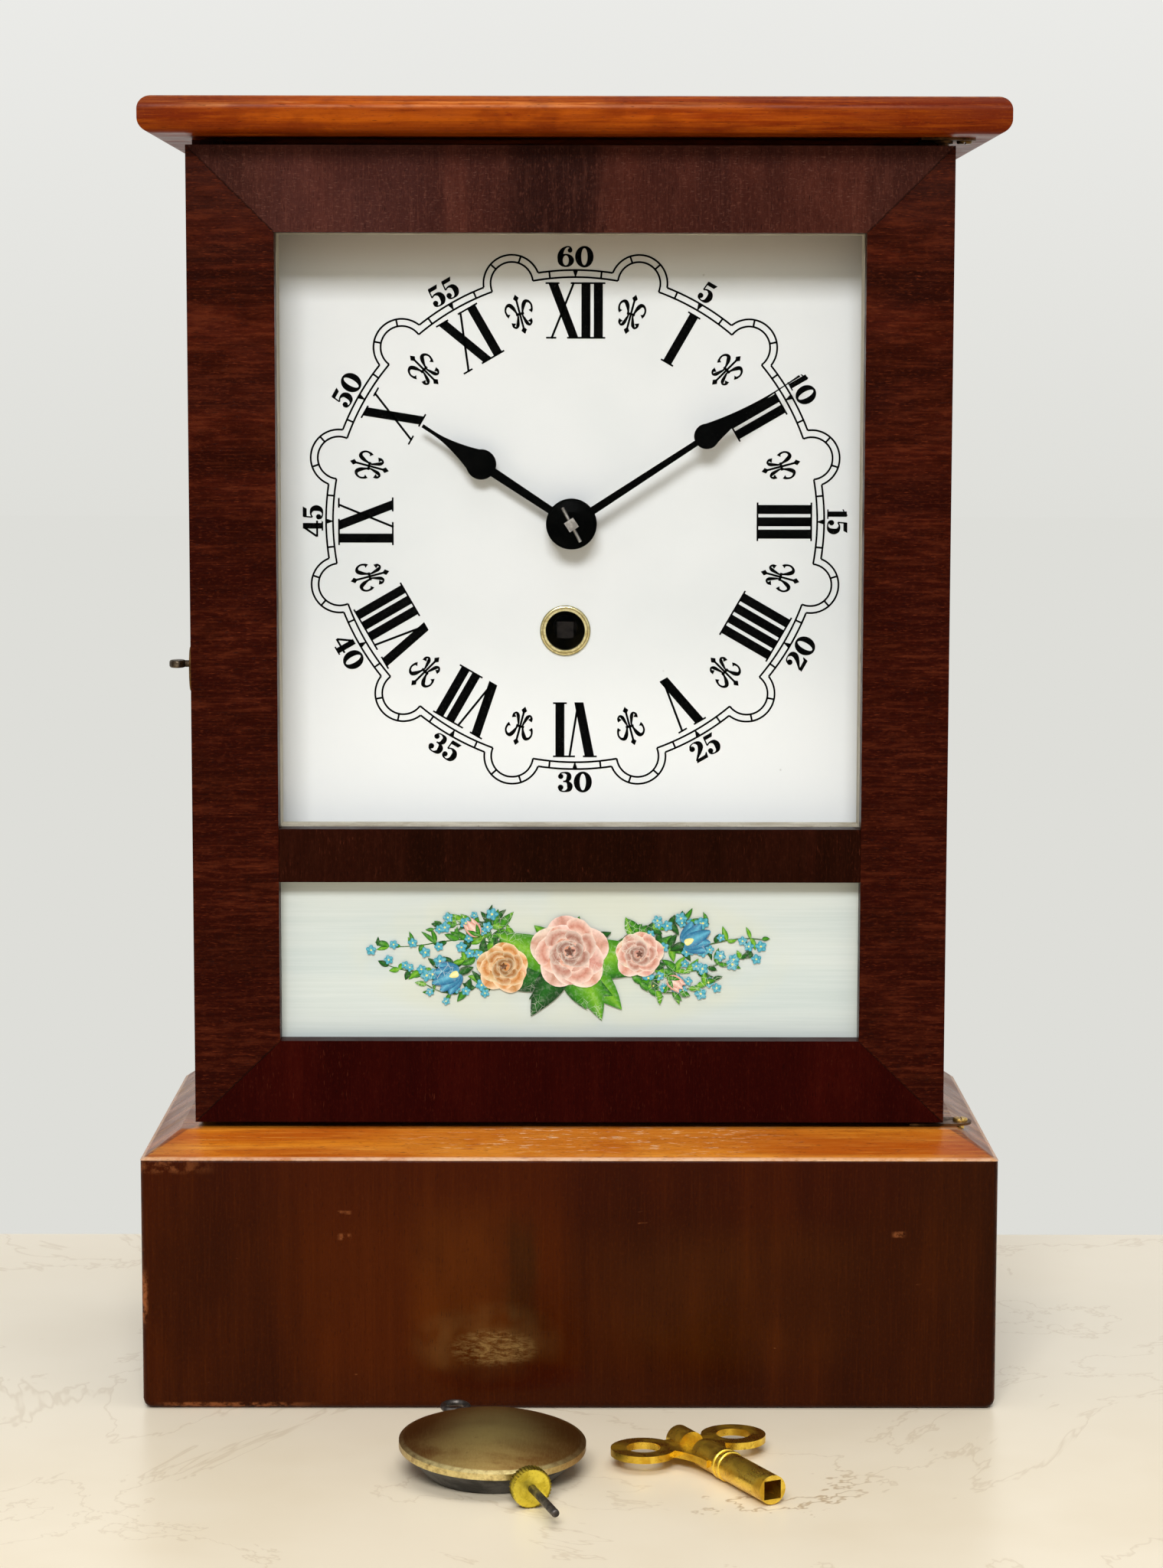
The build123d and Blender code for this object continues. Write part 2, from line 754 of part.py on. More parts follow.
def hand_outline(length, spade_place, hub):
    """A spade hand pointing up: tapered stem, round spade and a hollow-sided tip."""
    stem = make_face(Polyline((-stem_root_half, 0), (stem_root_half, 0), (stem_end_half, spade_place),
                              (-stem_end_half, spade_place), close=True))
    waist = spade_place + taper_waist_share * (length - spade_place)
    tip = Line((spade_radius, spade_place), (-spade_radius, spade_place))
    tip += ThreePointArc((-spade_radius, spade_place), (-taper_waist_half, waist), (-hand_tip_half, length))
    tip += Line((-hand_tip_half, length), (hand_tip_half, length))
    tip += ThreePointArc((hand_tip_half, length), (taper_waist_half, waist), (spade_radius, spade_place))
    return stem + make_face(tip) + Pos(0, spade_place) * Circle(spade_radius) + Circle(hub)


def make_hands():
    centre = Pos(dial_centre_x, dial_centre_z)
    hour_y = dial_front - hour_hand_height
    minute_y = dial_front - minute_hand_height
    hour = hand_outline(hour_hand_length, hour_spade_place, hour_hub_radius) - Circle(hour_pipe_radius)
    hour = centre * Rot(0, 0, -hour_hand_angle) * hour
    save("hour_hand", plate(hour, hour_y - hand_thickness, hour_y))
    square = Rectangle(arbor_square, arbor_square)
    minute = hand_outline(minute_hand_length, minute_spade_place, minute_hub_radius) - square
    minute = centre * Rot(0, 0, -minute_hand_angle) * minute
    save("minute_hand", plate(minute, minute_y - hand_thickness, minute_y))

    front = minute_y - hand_thickness
    washer = bar_y(dial_centre_x, dial_centre_z, washer_radius, front - washer_flange, front)
    dome = Plane.XZ.offset(washer_flange - front) * centre
    crown = Plane.XZ.offset(washer_flange + washer_dome - front) * centre
    washer += loft([dome * Circle(washer_radius), crown * Circle(washer_top_radius)], ruled=True)
    turned = centre * Rot(0, 0, -minute_hand_angle) * square
    washer -= plate(turned, front - washer_flange - washer_dome - overrun, front + overrun)
    pin_y = front - washer_flange - washer_dome - taper_pin_radius
    pin = Pos(dial_centre_x, pin_y, dial_centre_z) * Rot(0, taper_pin_angle, 0)
    pin = pin * Cylinder(taper_pin_radius, taper_pin_length)
    save("hand_washer", washer)
    save("taper_pin", pin)

    arbor = plate(turned, front - arbor_square_reach, minute_y)
    arbor += bar_y(dial_centre_x, dial_centre_z, arbor_radius, minute_y, back_plate_front - shoulder_gap)
    arbor += bar_y(dial_centre_x, dial_centre_z, pivot_pin_radius, minute_y, back_plate_back)
    arbor -= pin
    minute_module_pitch = motion_distance * cannon_leaves / (cannon_leaves + minute_wheel_teeth)
    cannon_y1 = plate_front - shoulder_gap
    cannon = gear(cannon_leaves, minute_module_pitch, leaf_root_share, leaf_tip_share, motion_angle)
    cannon = plate(Pos(dial_centre_x, dial_centre_z) * cannon, cannon_y1 - cannon_length, cannon_y1)
    save("centre_arbor", arbor + cannon)


def make_motion_work():
    """Minute wheel and hour wheel, which turn the hour hand once in twelve turns."""
    centre = Pos(dial_centre_x, 0, dial_centre_z)
    minute_pitch = motion_distance * minute_wheel_teeth / (cannon_leaves + minute_wheel_teeth)
    leaf_pitch = motion_distance * minute_leaves / (minute_leaves + hour_wheel_teeth)
    hour_pitch = motion_distance - leaf_pitch
    wheel_y1 = plate_front - minute_wheel_place + motion_wheel_thickness
    wheel_y0 = wheel_y1 - motion_wheel_thickness
    phase = motion_angle + 180 + 180 / minute_wheel_teeth
    outline = gear(minute_wheel_teeth, minute_pitch, tooth_root_share, tooth_tip_share, phase)
    hour_y1 = plate_front - hour_wheel_place + motion_wheel_thickness
    hour_y0 = hour_y1 - motion_wheel_thickness
    leaf_y0 = hour_y0 - (minute_pinion_length - motion_wheel_thickness) / 2
    leaves = gear(minute_leaves, leaf_pitch, leaf_root_share, leaf_tip_share, motion_angle + 180)
    body = plate(outline, wheel_y0, wheel_y1) + plate(leaves, leaf_y0, wheel_y0)
    body -= bar_y(0, 0, minute_post_radius + running_clearance, leaf_y0 - overrun, wheel_y1 + overrun)
    save("minute_wheel", Pos(minute_x, 0, minute_z) * body)
    post = bar_y(minute_x, minute_z, minute_post_radius, leaf_y0 - shoulder_gap, plate_inner)
    post += bar_y(minute_x, minute_z, minute_post_head_radius,
                  leaf_y0 - shoulder_gap - minute_post_head_height, leaf_y0 - shoulder_gap)

    pipe_y0 = dial_front - hour_hand_height - hand_thickness
    outline = gear(hour_wheel_teeth, hour_pitch, tooth_root_share, tooth_tip_share,
                   motion_angle + 180 / hour_wheel_teeth)
    hour = plate(outline, hour_y0, hour_y1) + bar_y(0, 0, hour_pipe_radius, pipe_y0, hour_y0)
    hour -= bar_y(0, 0, hour_pipe_bore, pipe_y0 - overrun, hour_y1 + overrun)
    save("hour_wheel", centre * hour)
    return post


def pillar_places():
    x = plate_half_width - pillar_inset
    for side in (-1, 1):
        for z in (plate_low + pillar_margin, plate_high - pillar_margin):
            yield dial_centre_x + side * x, z


def screw_places():
    x = plate_half_width - movement_screw_inset
    for side in (-1, 1):
        for z in (dial_centre_z - movement_screw_low, dial_centre_z + movement_screw_high):
            yield dial_centre_x + side * x, z


def window(x0, x1, z0, z1):
    """A rounded opening in the plates, measured from the centre arbor."""
    frame = Pos(dial_centre_x + (x0 + x1) / 2, dial_centre_z + (z0 + z1) / 2)
    return frame * RectangleRounded(x1 - x0, z1 - z0, window_corner_radius)


window_places_shares = ((0.3, 0.68, -0.62, 0.6), (-0.7, -0.26, -0.8, -0.42), (-0.82, -0.24, 0.02, 0.2))


def make_movement(post):
    """Plates, pillars, nuts, screws and the wooden rails that carry them."""
    middle = (plate_low + plate_high) / 2
    outline = Pos(dial_centre_x, middle) * RectangleRounded(
        2 * plate_half_width, plate_high - plate_low, plate_corner_radius)
    for x0, x1, z0, z1 in window_places_shares:
        outline -= window(x0 * plate_half_width, x1 * plate_half_width, z0 * plate_foot, z1 * plate_head)
    front = plate(outline, plate_front, plate_inner)
    back = plate(outline, back_plate_front, back_plate_back)
    pivots = ((dial_centre_x, dial_centre_z, arbor_radius, pivot_pin_radius),
              (winding_x, winding_z, winding_arbor_radius, winding_back_pivot),
              (third_x, third_z, pivot_pin_radius, pivot_pin_radius),
              (escape_x, escape_z, pivot_pin_radius, pivot_pin_radius),
              (escape_x, verge_z, pivot_pin_radius, pivot_pin_radius))
    for x, z, front_radius, back_radius in pivots:
        front -= bar_y(x, z, front_radius + running_clearance, plate_front - overrun, plate_inner + overrun)
        back -= bar_y(x, z, back_radius + running_clearance, back_plate_front - overrun,
                      back_plate_back + overrun)
    front += post
    pillars = []
    nuts = []
    for x, z in pillar_places():
        stud = bar_y(x, z, pillar_stud_radius, plate_front - pillar_nut_height, back_plate_back)
        pillars.append(stud + bar_y(x, z, pillar_radius, plate_inner, back_plate_front))
        front -= bar_y(x, z, pillar_stud_radius, plate_front - overrun, plate_inner + overrun)
        back -= bar_y(x, z, pillar_stud_radius, back_plate_front - overrun, back_plate_back + overrun)
        nut = Pos(x, z) * RegularPolygon(pillar_nut_flats / 2, 6, major_radius=False)
        nut -= Pos(x, z) * Circle(pillar_stud_radius)
        nuts.append(plate(nut, plate_front - pillar_nut_height, plate_front))
    rails = []
    for side in (-1, 1):
        edge = dial_centre_x + side * plate_half_width
        x0, x1 = sorted((edge, edge - side * movement_rail_width))
        rails.append(block(x0, x1, back_plate_back, board_front, plate_low - movement_rail_margin,
                           plate_high + movement_rail_margin))
    screws = []
    for x, z in screw_places():
        hole = bar_y(x, z, movement_screw_radius, back_plate_front - overrun,
                     back_plate_front + movement_screw_length)
        back -= hole
        rails = [rail - hole for rail in rails]
        shank = bar_y(x, z, movement_screw_radius, back_plate_front,
                      back_plate_front + movement_screw_length)
        head_y = back_plate_front - movement_screw_head_height
        head = bar_y(x, z, movement_screw_head_radius, head_y, back_plate_front)
        head -= block(x - movement_screw_head_radius - overrun, x + movement_screw_head_radius + overrun,
                      head_y - overrun, head_y + hinge_slot_depth, z - hinge_slot_width / 2,
                      z + hinge_slot_width / 2)
        screws.append(shank + head)

    # The suspension post is riveted to the back plate above the verge
    post_low = verge_z + suspension_grip / 2
    bracket = block(escape_x - post_width / 2, escape_x + post_width / 2, back_plate_back,
                    rod_y + suspension_width / 2 + shoulder_gap, post_low, post_low + post_height)
    bracket -= block(escape_x - post_slit / 2, escape_x + post_slit / 2,
                     rod_y - suspension_width / 2 - shoulder_gap, rod_y + suspension_width + overrun,
                     post_low - overrun, post_low + suspension_grip)
    save("movement_front_plate", front)
    save("movement_back_plate", back)
    save("movement_pillars", *pillars)
    save("pillar_nuts", *nuts)
    save("movement_rails", *rails)
    save("movement_screws", *screws)
    save("suspension_post", bracket)


def make_spring_drive():
    """Winding arbor, ratchet, click, great wheel and the open mainspring."""
    place = Pos(winding_x, 0, winding_z)
    square_front = dial_front - grommet_lip + (plate_front - dial_front) - winding_square_reach
    square = Rectangle(winding_square, winding_square)
    arbor = plate(square, square_front, plate_front - shoulder_gap)
    arbor += bar_y(0, 0, winding_arbor_radius, plate_front - shoulder_gap, back_plate_front - shoulder_gap)
    arbor += bar_y(0, 0, winding_back_pivot, plate_inner, back_plate_back)

    great_y0 = plate_inner + great_wheel_place
    great_y1 = great_y0 + great_wheel_thickness
    outline = gear(great_teeth, great_pitch, tooth_root_share, tooth_tip_share, great_to_centre)
    module = 2 * great_pitch / great_teeth
    rim = great_pitch - dedendum_share * module - rim_width
    spoke_phase = click_pivot_angle
    holes = crossings(rim, hub_radius + 2 * spoke_width, spoke_phase)
    pivot = polar(0, 0, click_pivot_distance, click_pivot_angle)
    holes -= Pos(*pivot) * Circle(click_body_radius)
    outline -= holes
    great = plate(outline, great_y0, great_y1)
    great -= bar_y(0, 0, winding_arbor_radius + running_clearance, great_y0 - overrun, great_y1 + overrun)
    ratchet_y0 = great_y1 + shoulder_gap
    ratchet_y1 = ratchet_y0 + ratchet_thickness
    great += bar_y(*pivot, click_pivot_radius, great_y0, ratchet_y1 + shoulder_gap + hinge_plate_thickness)
    save("great_wheel", place * great)

    root = ratchet_radius - ratchet_depth
    step = 360 / ratchet_teeth
    points = []
    for tooth in range(ratchet_teeth):
        points.append(polar(0, 0, root, tooth * step))
        points.append(polar(0, 0, ratchet_radius, (tooth + 1) * step))
    arbor += plate(make_face(Polyline(*points, close=True)), ratchet_y0, ratchet_y1)
    save("winding_arbor", place * arbor)

    # The click's tip stands in a notch one tooth before its pivot
    notch_angle = (math.floor(click_pivot_angle / step) - 1) * step
    tip_radius = root + ratchet_depth / 3 + click_gap
    swing = step * click_gap
    tip = polar(0, 0, tip_radius, notch_angle + swing)
    heel = polar(0, 0, ratchet_radius + click_gap + click_tip_half, notch_angle + step)
    toe = polar(0, 0, ratchet_radius + 2 * click_tip_half, notch_angle + swing)
    body = Pos(*pivot) * Circle(click_body_radius)
    arm_out = polar(*pivot, click_body_radius, click_pivot_angle)
    arm_in = polar(*pivot, click_body_radius, click_pivot_angle + 180)
    body += make_face(Polyline(arm_out, toe, tip, heel, arm_in, close=True))
    body -= Pos(*pivot) * Circle(click_pivot_radius + running_clearance)
    save("click", place * plate(body, ratchet_y0, ratchet_y1))

    # A wire spring on the great wheel's rim lies along the click's back, with room for the click to lift
    span = math.dist(pivot, toe)
    toward = math.degrees(math.atan2(toe[1] - pivot[1], toe[0] - pivot[0]))
    drop = click_body_radius + click_spring_gap - click_lift_room
    normal = toward + math.degrees(math.acos(drop / span))
    near = polar(*toe, click_lift_room + click_spring_wire, normal)
    run = polar(0, 0, 1, normal + 90)
    inward = near[0] * run[0] + near[1] * run[1]
    reach = math.sqrt(inward**2 + (rim + rim_width / 2) ** 2 - near[0] ** 2 - near[1] ** 2) - inward
    far = polar(*near, reach, normal + 90)
    wire_y = ratchet_y0 + ratchet_thickness / 2
    wire = Pos((near[0] + far[0]) / 2, wire_y, (near[1] + far[1]) / 2) * Rot(0, -normal - 90, 0)
    wire = wire * Rot(0, 90, 0) * Cylinder(click_spring_wire, reach)
    wire += bar_y(*far, 2 * click_spring_wire, great_y1, wire_y + 2 * click_spring_wire)
    save("click_spring", place * wire)

    # The mainspring is half turns of growing radius; its outer end goes round a pillar
    strip_pitch = mainspring_strip + mainspring_gap
    spring_y0 = plate_inner + mainspring_place
    inner = winding_arbor_radius + mainspring_bore_gap
    coil = None
    offset = 0
    for half in range(mainspring_half_turns):
        side = -1 if half % 2 == 0 else 1
        ring = Circle(inner + mainspring_strip) - Circle(inner)
        keep = Pos(0, side * (inner + strip_pitch)) * Rectangle(
            4 * (inner + strip_pitch), 2 * (inner + strip_pitch))
        piece = Pos(offset, 0) * (ring & keep)
        coil = piece if coil is None else coil + piece
        offset += side * strip_pitch / 2
        inner += strip_pitch / 2
    start = (offset - inner - mainspring_strip / 2, 0)
    pillar = min(pillar_places(), key=lambda p: p[0] + p[1])
    eye_x = pillar[0] - winding_x
    eye_z = pillar[1] - winding_z
    eye = pillar_radius + running_clearance + mainspring_strip
    target = (eye_x + eye - mainspring_strip / 2, eye_z)
    lean = math.degrees(math.atan2(target[1] - start[1], target[0] - start[0]))
    span = math.dist(start, target)
    link = Pos((start[0] + target[0]) / 2, (start[1] + target[1]) / 2)
    link = link * Rot(0, 0, lean) * Rectangle(span, mainspring_strip)
    coil = coil + link + Pos(*start) * Circle(mainspring_strip / 2)
    coil = coil + Pos(eye_x, eye_z) * Circle(eye) - Pos(eye_x, eye_z) * Circle(eye - mainspring_strip)
    save("mainspring", place * plate(coil, spring_y0, spring_y0 + mainspring_width))
    print("mainspring least gap", round(mainspring_gap, 2), "mm, outer radius", round(inner, 2))


def make_train():
    """Centre, third and escape wheels with their lantern pinions, and the verge."""
    centre = Pos(dial_centre_x, 0, dial_centre_z)
    wheel_y = plate_inner + centre_wheel_place
    big = wheel(centre_wheel_teeth, centre_pitch, third_angle, 0, wheel_y, wheel_thickness)
    leaf_y = plate_inner + centre_pinion_place
    leaf_phase = great_to_centre + 180 + 180 / centre_leaves
    leaves = gear(centre_leaves, centre_pinion_pitch, leaf_root_share, leaf_tip_share, leaf_phase)
    big += plate(leaves, leaf_y, leaf_y + centre_pinion_length)
    big += bar_y(0, 0, centre_pipe_radius, wheel_y, leaf_y)
    big -= bar_y(0, 0, arbor_radius + running_clearance, plate_inner, leaf_y + centre_pinion_length + overrun)
    save("centre_wheel", centre * big)

    third_phase = third_angle + 180 + 180 / pinion_leaves
    pin_y = wheel_y - (third_pinion_length - wheel_thickness) / 2
    third = lantern(pinion_leaves, third_pinion_pitch, third_phase, pin_y, third_pinion_length)
    third_y = plate_inner + third_wheel_place
    third += wheel(third_wheel_teeth, third_pitch, escape_angle, 0, third_y, wheel_thickness)
    third += train_arbor()
    save("third_wheel", Pos(third_x, 0, third_z) * third)

    escape_phase = escape_angle + 180 + 180 / pinion_leaves
    pin_y = third_y - (escape_pinion_length - wheel_thickness) / 2
    escape = lantern(pinion_leaves, escape_pinion_pitch, escape_phase, pin_y, escape_pinion_length)
    escape += train_arbor()
    step = 360 / escape_teeth
    points = []
    for tooth in range(escape_teeth):
        points.append(polar(0, 0, escape_radius - escape_tooth, tooth * step))
        points.append(polar(0, 0, escape_radius, tooth * step))
        points.append(polar(0, 0, escape_radius, tooth * step + step * tooth_tip_share / 2))
        points.append(polar(0, 0, escape_radius - escape_tooth, tooth * step + step * tooth_root_share))
    rim = make_face(Polyline(*points, close=True))
    rim -= crossings(escape_radius - escape_tooth - rim_width / 2, hub_radius, 0)
    escape_y = plate_inner + escape_wheel_place
    escape += plate(rim, escape_y, escape_y + wheel_thickness)
    save("escape_wheel", Pos(escape_x, 0, escape_z) * escape)

    # Verge: a curved pallet strip over the escape wheel, its arbor and the crutch behind
    inner = escape_radius + verge_clearance
    ring = Circle(inner + verge_strip) - Circle(inner)
    reach = inner + verge_rise
    turn = math.radians(verge_half_angle)
    wedge = make_face(Polyline((0, 0), (reach * math.sin(turn), reach * math.cos(turn)),
                               (0, 2 * reach), (-reach * math.sin(turn), reach * math.cos(turn)), close=True))
    strip = ring & wedge
    stem_low = inner + verge_strip / 2
    strip += Pos(0, (stem_low + verge_rise) / 2) * Rectangle(verge_stem_width, verge_rise - stem_low)
    strip_y = escape_y + wheel_thickness / 2 - verge_width / 2
    verge = plate(strip, strip_y, strip_y + verge_width)
    verge += bar_y(0, verge_rise, verge_hub_radius, strip_y, strip_y + verge_width)
    verge += bar_y(0, verge_rise, train_arbor_radius, plate_inner + shoulder_gap,
                   back_plate_front - shoulder_gap)
    crutch_y = back_plate_back + crutch_offset
    verge += bar_y(0, verge_rise, pivot_pin_radius, plate_front, crutch_y + crutch_radius)
    verge += bar_y(0, verge_rise, crutch_boss_radius, crutch_y - crutch_boss_length / 2,
                   crutch_y + crutch_boss_length / 2)
    foot = verge_rise - crutch_length
    verge += bar_z(0, crutch_y, crutch_radius, foot, verge_rise)
    verge += bar_y(0, foot, crutch_radius, crutch_y, rod_y - crutch_eye)
    verge += Pos(0, rod_y, foot) * Torus(crutch_eye, crutch_radius)
    save("verge", Pos(escape_x, 0, escape_z) * verge)


def train_arbor():
    """A plain arbor with a pivot at each end."""
    arbor = bar_y(0, 0, train_arbor_radius, plate_inner + shoulder_gap, back_plate_front - shoulder_gap)
    return arbor + bar_y(0, 0, pivot_pin_radius, plate_front, back_plate_back)


def make_pendulum():
    """Suspension spring and rod; the bob is off and lies in front."""
    top = verge_z + suspension_grip
    low = top - suspension_length
    strip = block(escape_x - suspension_strip / 2, escape_x + suspension_strip / 2,
                  rod_y - suspension_width / 2, rod_y + suspension_width / 2, low, top)
    save("suspension_spring", strip)
    clamp_low = low - suspension_block
    clamp = block(escape_x - rod_radius - suspension_strip, escape_x + rod_radius + suspension_strip,
                  rod_y - suspension_width / 2, rod_y + suspension_width / 2, clamp_low, low)
    foot = verge_z - rod_length
    rod = bar_z(escape_x, rod_y, rod_radius, foot, clamp_low)
    half_ring = revolve(Plane.XY.offset(foot) * Pos(escape_x, rod_y) * Circle(rod_radius),
                        Axis((escape_x, rod_y - rod_hook_radius, foot), (1, 0, 0)), -180)
    end_y = rod_y - 2 * rod_hook_radius
    tail = bar_z(escape_x, end_y, rod_radius, foot, foot + rod_hook_radius)
    save("pendulum_rod", clamp + rod + half_ring + tail)


def make_bob():
    """The bob, its wire and the rating nut, lying tilted on the nut's edge."""
    tilt = math.radians(bob_tilt)
    nut_height = nut_radius * math.cos(tilt) + nut_thickness / 2 * math.sin(tilt)
    height = nut_height + nut_place * math.sin(tilt)
    place = Pos(bob_x, front_y - bob_ahead, height) * Rot(0, 0, bob_turn) * Rot(bob_tilt, 0, 0)

    def along(radius, start, end):
        """A round bar on the wire's line; distances count towards the front."""
        return Pos(0, -(start + end) / 2, 0) * Rot(90, 0, 0) * Cylinder(radius, end - start)

    rim_top = bob_rim_lift
    rim_low = bob_rim_lift - bob_rim

    def lens(radius, rise, top):
        """Half the section of a domed disc, turned about Z."""
        arc_mid = radius / 2
        sphere = (radius**2 + rise**2) / (2 * rise)
        mid_z = top + rise - sphere + math.sqrt(sphere**2 - arc_mid**2)
        edge = Line((0, rim_low), (radius, rim_low))
        edge += Line((radius, rim_low), (radius, top))
        edge += ThreePointArc((radius, top), (arc_mid, mid_z), (0, top + rise))
        edge += Line((0, top + rise), (0, rim_low))
        return revolve(Plane.XZ * make_face(edge), Axis.Z)

    outer = lens(bob_radius, bob_rise, rim_top)
    inner = lens(bob_radius - bob_shell_wall, bob_rise - bob_shell_wall, rim_top)
    channel = along(bob_rod_radius + running_clearance, -bob_radius - overrun, bob_radius + overrun)
    save("bob_shell", place * (outer - inner - channel))
    back = loft([Pos(0, 0, -bob_back_drop) * Circle(bob_back_radius),
                 Pos(0, 0, rim_low) * Circle(bob_radius - bob_shell_wall)], ruled=True)
    save("bob_weight", place * (inner + back - channel))

    loop_place = bob_rod_back + bob_loop_radius
    wire = along(bob_rod_radius, -bob_rod_back - bob_loop_wire / 2, bob_rod_front)
    wire = fillet(wire.edges().group_by(Axis.Y)[0], bob_rod_radius / 2)
    wire += Pos(0, loop_place, 0) * Torus(bob_loop_radius, bob_loop_wire)
    save("bob_wire", place * wire)
    points = []
    for ridge in range(2 * nut_ridges):
        radius = nut_radius if ridge % 2 == 0 else nut_root_radius
        points.append(polar(0, 0, radius, 270 + ridge * 180 / nut_ridges))
    nut = make_face(Polyline(*points, close=True)) - Circle(bob_rod_radius + running_clearance)
    nut = plate(nut, -nut_place - nut_thickness / 2, -nut_place + nut_thickness / 2)
    save("rating_nut", place * nut)
    axis = (math.sin(math.radians(bob_turn)) * math.cos(tilt),
            -math.cos(math.radians(bob_turn)) * math.cos(tilt), -math.sin(tilt))
    print("bob wire passes through", bob_x, front_y - bob_ahead, round(height, 4), "along", axis)


def make_key():
    """The double-winged key: wing plate, and the barrel with its square socket."""
    place = Pos(key_x, front_y - key_ahead, key_collar_radius) * Rot(0, 0, key_turn - 90)
    rings = Pos(0, key_wing_offset) * Circle(key_wing_radius)
    rings += Pos(0, -key_wing_offset) * Circle(key_wing_radius)
    rings += Pos((key_neck_front - key_neck_back) / 2, 0) * Rectangle(
        key_neck_front + key_neck_back, 2 * key_neck_half)
    waist = (key_neck_front + key_throat_end) / 2
    throat = Line((key_neck_front, -key_neck_half), (key_neck_front, key_neck_half))
    throat += ThreePointArc((key_neck_front, key_neck_half), (waist, key_throat_waist),
                            (key_throat_end, key_throat_half))
    throat += Line((key_throat_end, key_throat_half), (key_throat_end, -key_throat_half))
    throat += ThreePointArc((key_throat_end, -key_throat_half), (waist, -key_throat_waist),
                            (key_neck_front, -key_neck_half))
    rings += make_face(throat)
    for side in (-1, 1):
        rings -= Pos(0, side * key_wing_offset) * Circle(key_wing_hole)
    half = key_plate_thickness / 2
    wings = extrude(Pos(0, 0, -half) * rings, key_plate_thickness)
    stub = bar_x(0, 0, key_stub_radius, -key_stub_back, key_stub_front)
    stub -= block(-key_stub_back - overrun, key_stub_front + overrun, -key_stub_radius - overrun,
                  key_stub_radius + overrun, -key_stub_radius - overrun, 0)
    wings += stub
    wings += bar_z(key_rivet_place, 0, key_rivet_radius, -half, half + key_rivet_height)
    save("key_wings", place * wings)

    barrel = bar_x(0, 0, key_barrel_radius, key_barrel_start, key_barrel_end)
    for ring in range(2):
        middle = key_collar_place + ring * key_collar_pitch
        collar = bar_x(0, 0, key_collar_radius, middle - key_collar_width / 2, middle + key_collar_width / 2)
        barrel += fillet(collar.edges(), key_collar_width / 3)
    socket = winding_square / 2 + key_socket_clearance
    barrel -= block(key_barrel_end - key_socket_depth, key_barrel_end + overrun,
                    -socket, socket, -socket, socket)
    barrel -= block(key_barrel_start - overrun, key_throat_end, -key_barrel_radius - overrun,
                    key_barrel_radius + overrun, -half, half)
    save("key_barrel", place * barrel)


make_base()
make_case()
make_hinges()
make_door()
make_dial()
make_hands()
minute_post = make_motion_work()
make_movement(minute_post)
make_spring_drive()
make_train()
make_pendulum()
make_bob()
make_key()
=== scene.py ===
import json
import math
import random

import bmesh
import bpy
from mathutils import Matrix, Vector


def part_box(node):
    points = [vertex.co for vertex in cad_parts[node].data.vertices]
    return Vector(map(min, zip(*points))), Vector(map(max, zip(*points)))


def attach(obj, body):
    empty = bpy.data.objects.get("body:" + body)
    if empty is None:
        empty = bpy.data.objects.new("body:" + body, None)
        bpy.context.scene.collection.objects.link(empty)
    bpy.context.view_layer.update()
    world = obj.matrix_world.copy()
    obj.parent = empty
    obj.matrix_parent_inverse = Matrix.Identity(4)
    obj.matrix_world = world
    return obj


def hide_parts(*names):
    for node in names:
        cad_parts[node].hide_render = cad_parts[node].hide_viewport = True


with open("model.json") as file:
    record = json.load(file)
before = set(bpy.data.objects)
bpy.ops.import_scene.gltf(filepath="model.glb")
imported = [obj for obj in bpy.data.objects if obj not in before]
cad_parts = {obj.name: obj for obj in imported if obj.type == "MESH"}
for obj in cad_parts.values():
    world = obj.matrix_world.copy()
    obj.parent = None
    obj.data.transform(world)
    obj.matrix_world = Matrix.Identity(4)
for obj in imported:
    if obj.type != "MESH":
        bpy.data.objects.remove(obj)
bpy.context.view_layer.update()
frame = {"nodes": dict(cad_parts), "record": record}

MM = 0.001
nodes = frame["nodes"]
body_of_node = {n: b for b, members in frame["record"]["behaviour"]["bodies"].items() for n in members}


# --- Shader maths ---

class Wire:
    """One output of a finish's nodes, on which plain sums can be written."""

    def __init__(self, finish, socket):
        self.finish, self.socket = finish, socket

    def sum(self, operation, *values, clamp=False):
        return self.finish.node("ShaderNodeMath", {"operation": operation, "use_clamp": clamp},
                                dict(enumerate(values)))

    def __abs__(self):
        return self.sum("ABSOLUTE", self)

    def least(self, other):
        return self.sum("MINIMUM", self, other)

    def most(self, other):
        return self.sum("MAXIMUM", self, other)

    def held(self):
        """The value kept between 0 and 1."""
        return self.sum("ADD", self, 0.0, clamp=True)

    def rise(self, low, high):
        """0 below low, 1 above high, and a soft step between. High may lie below low."""
        return self.finish.node("ShaderNodeMapRange", {"interpolation_type": "SMOOTHSTEP"},
                                {"Value": self, "From Min": low, "From Max": high})

    def span(self, low, high):
        """The same soft step between two places in millimetres."""
        return self.rise(low * MM, high * MM)

    def near(self, at, reach):
        """1 at a place and 0 further than reach from it, both in millimetres."""
        return abs(self - at * MM).span(reach, reach * 0.35)


for sign, operation in (("add", "ADD"), ("sub", "SUBTRACT"), ("mul", "MULTIPLY"), ("truediv", "DIVIDE"),
                        ("pow", "POWER")):
    setattr(Wire, f"__{sign}__", lambda self, other, kind=operation: self.sum(kind, self, other))
    setattr(Wire, f"__r{sign}__", lambda self, other, kind=operation: self.sum(kind, other, self))


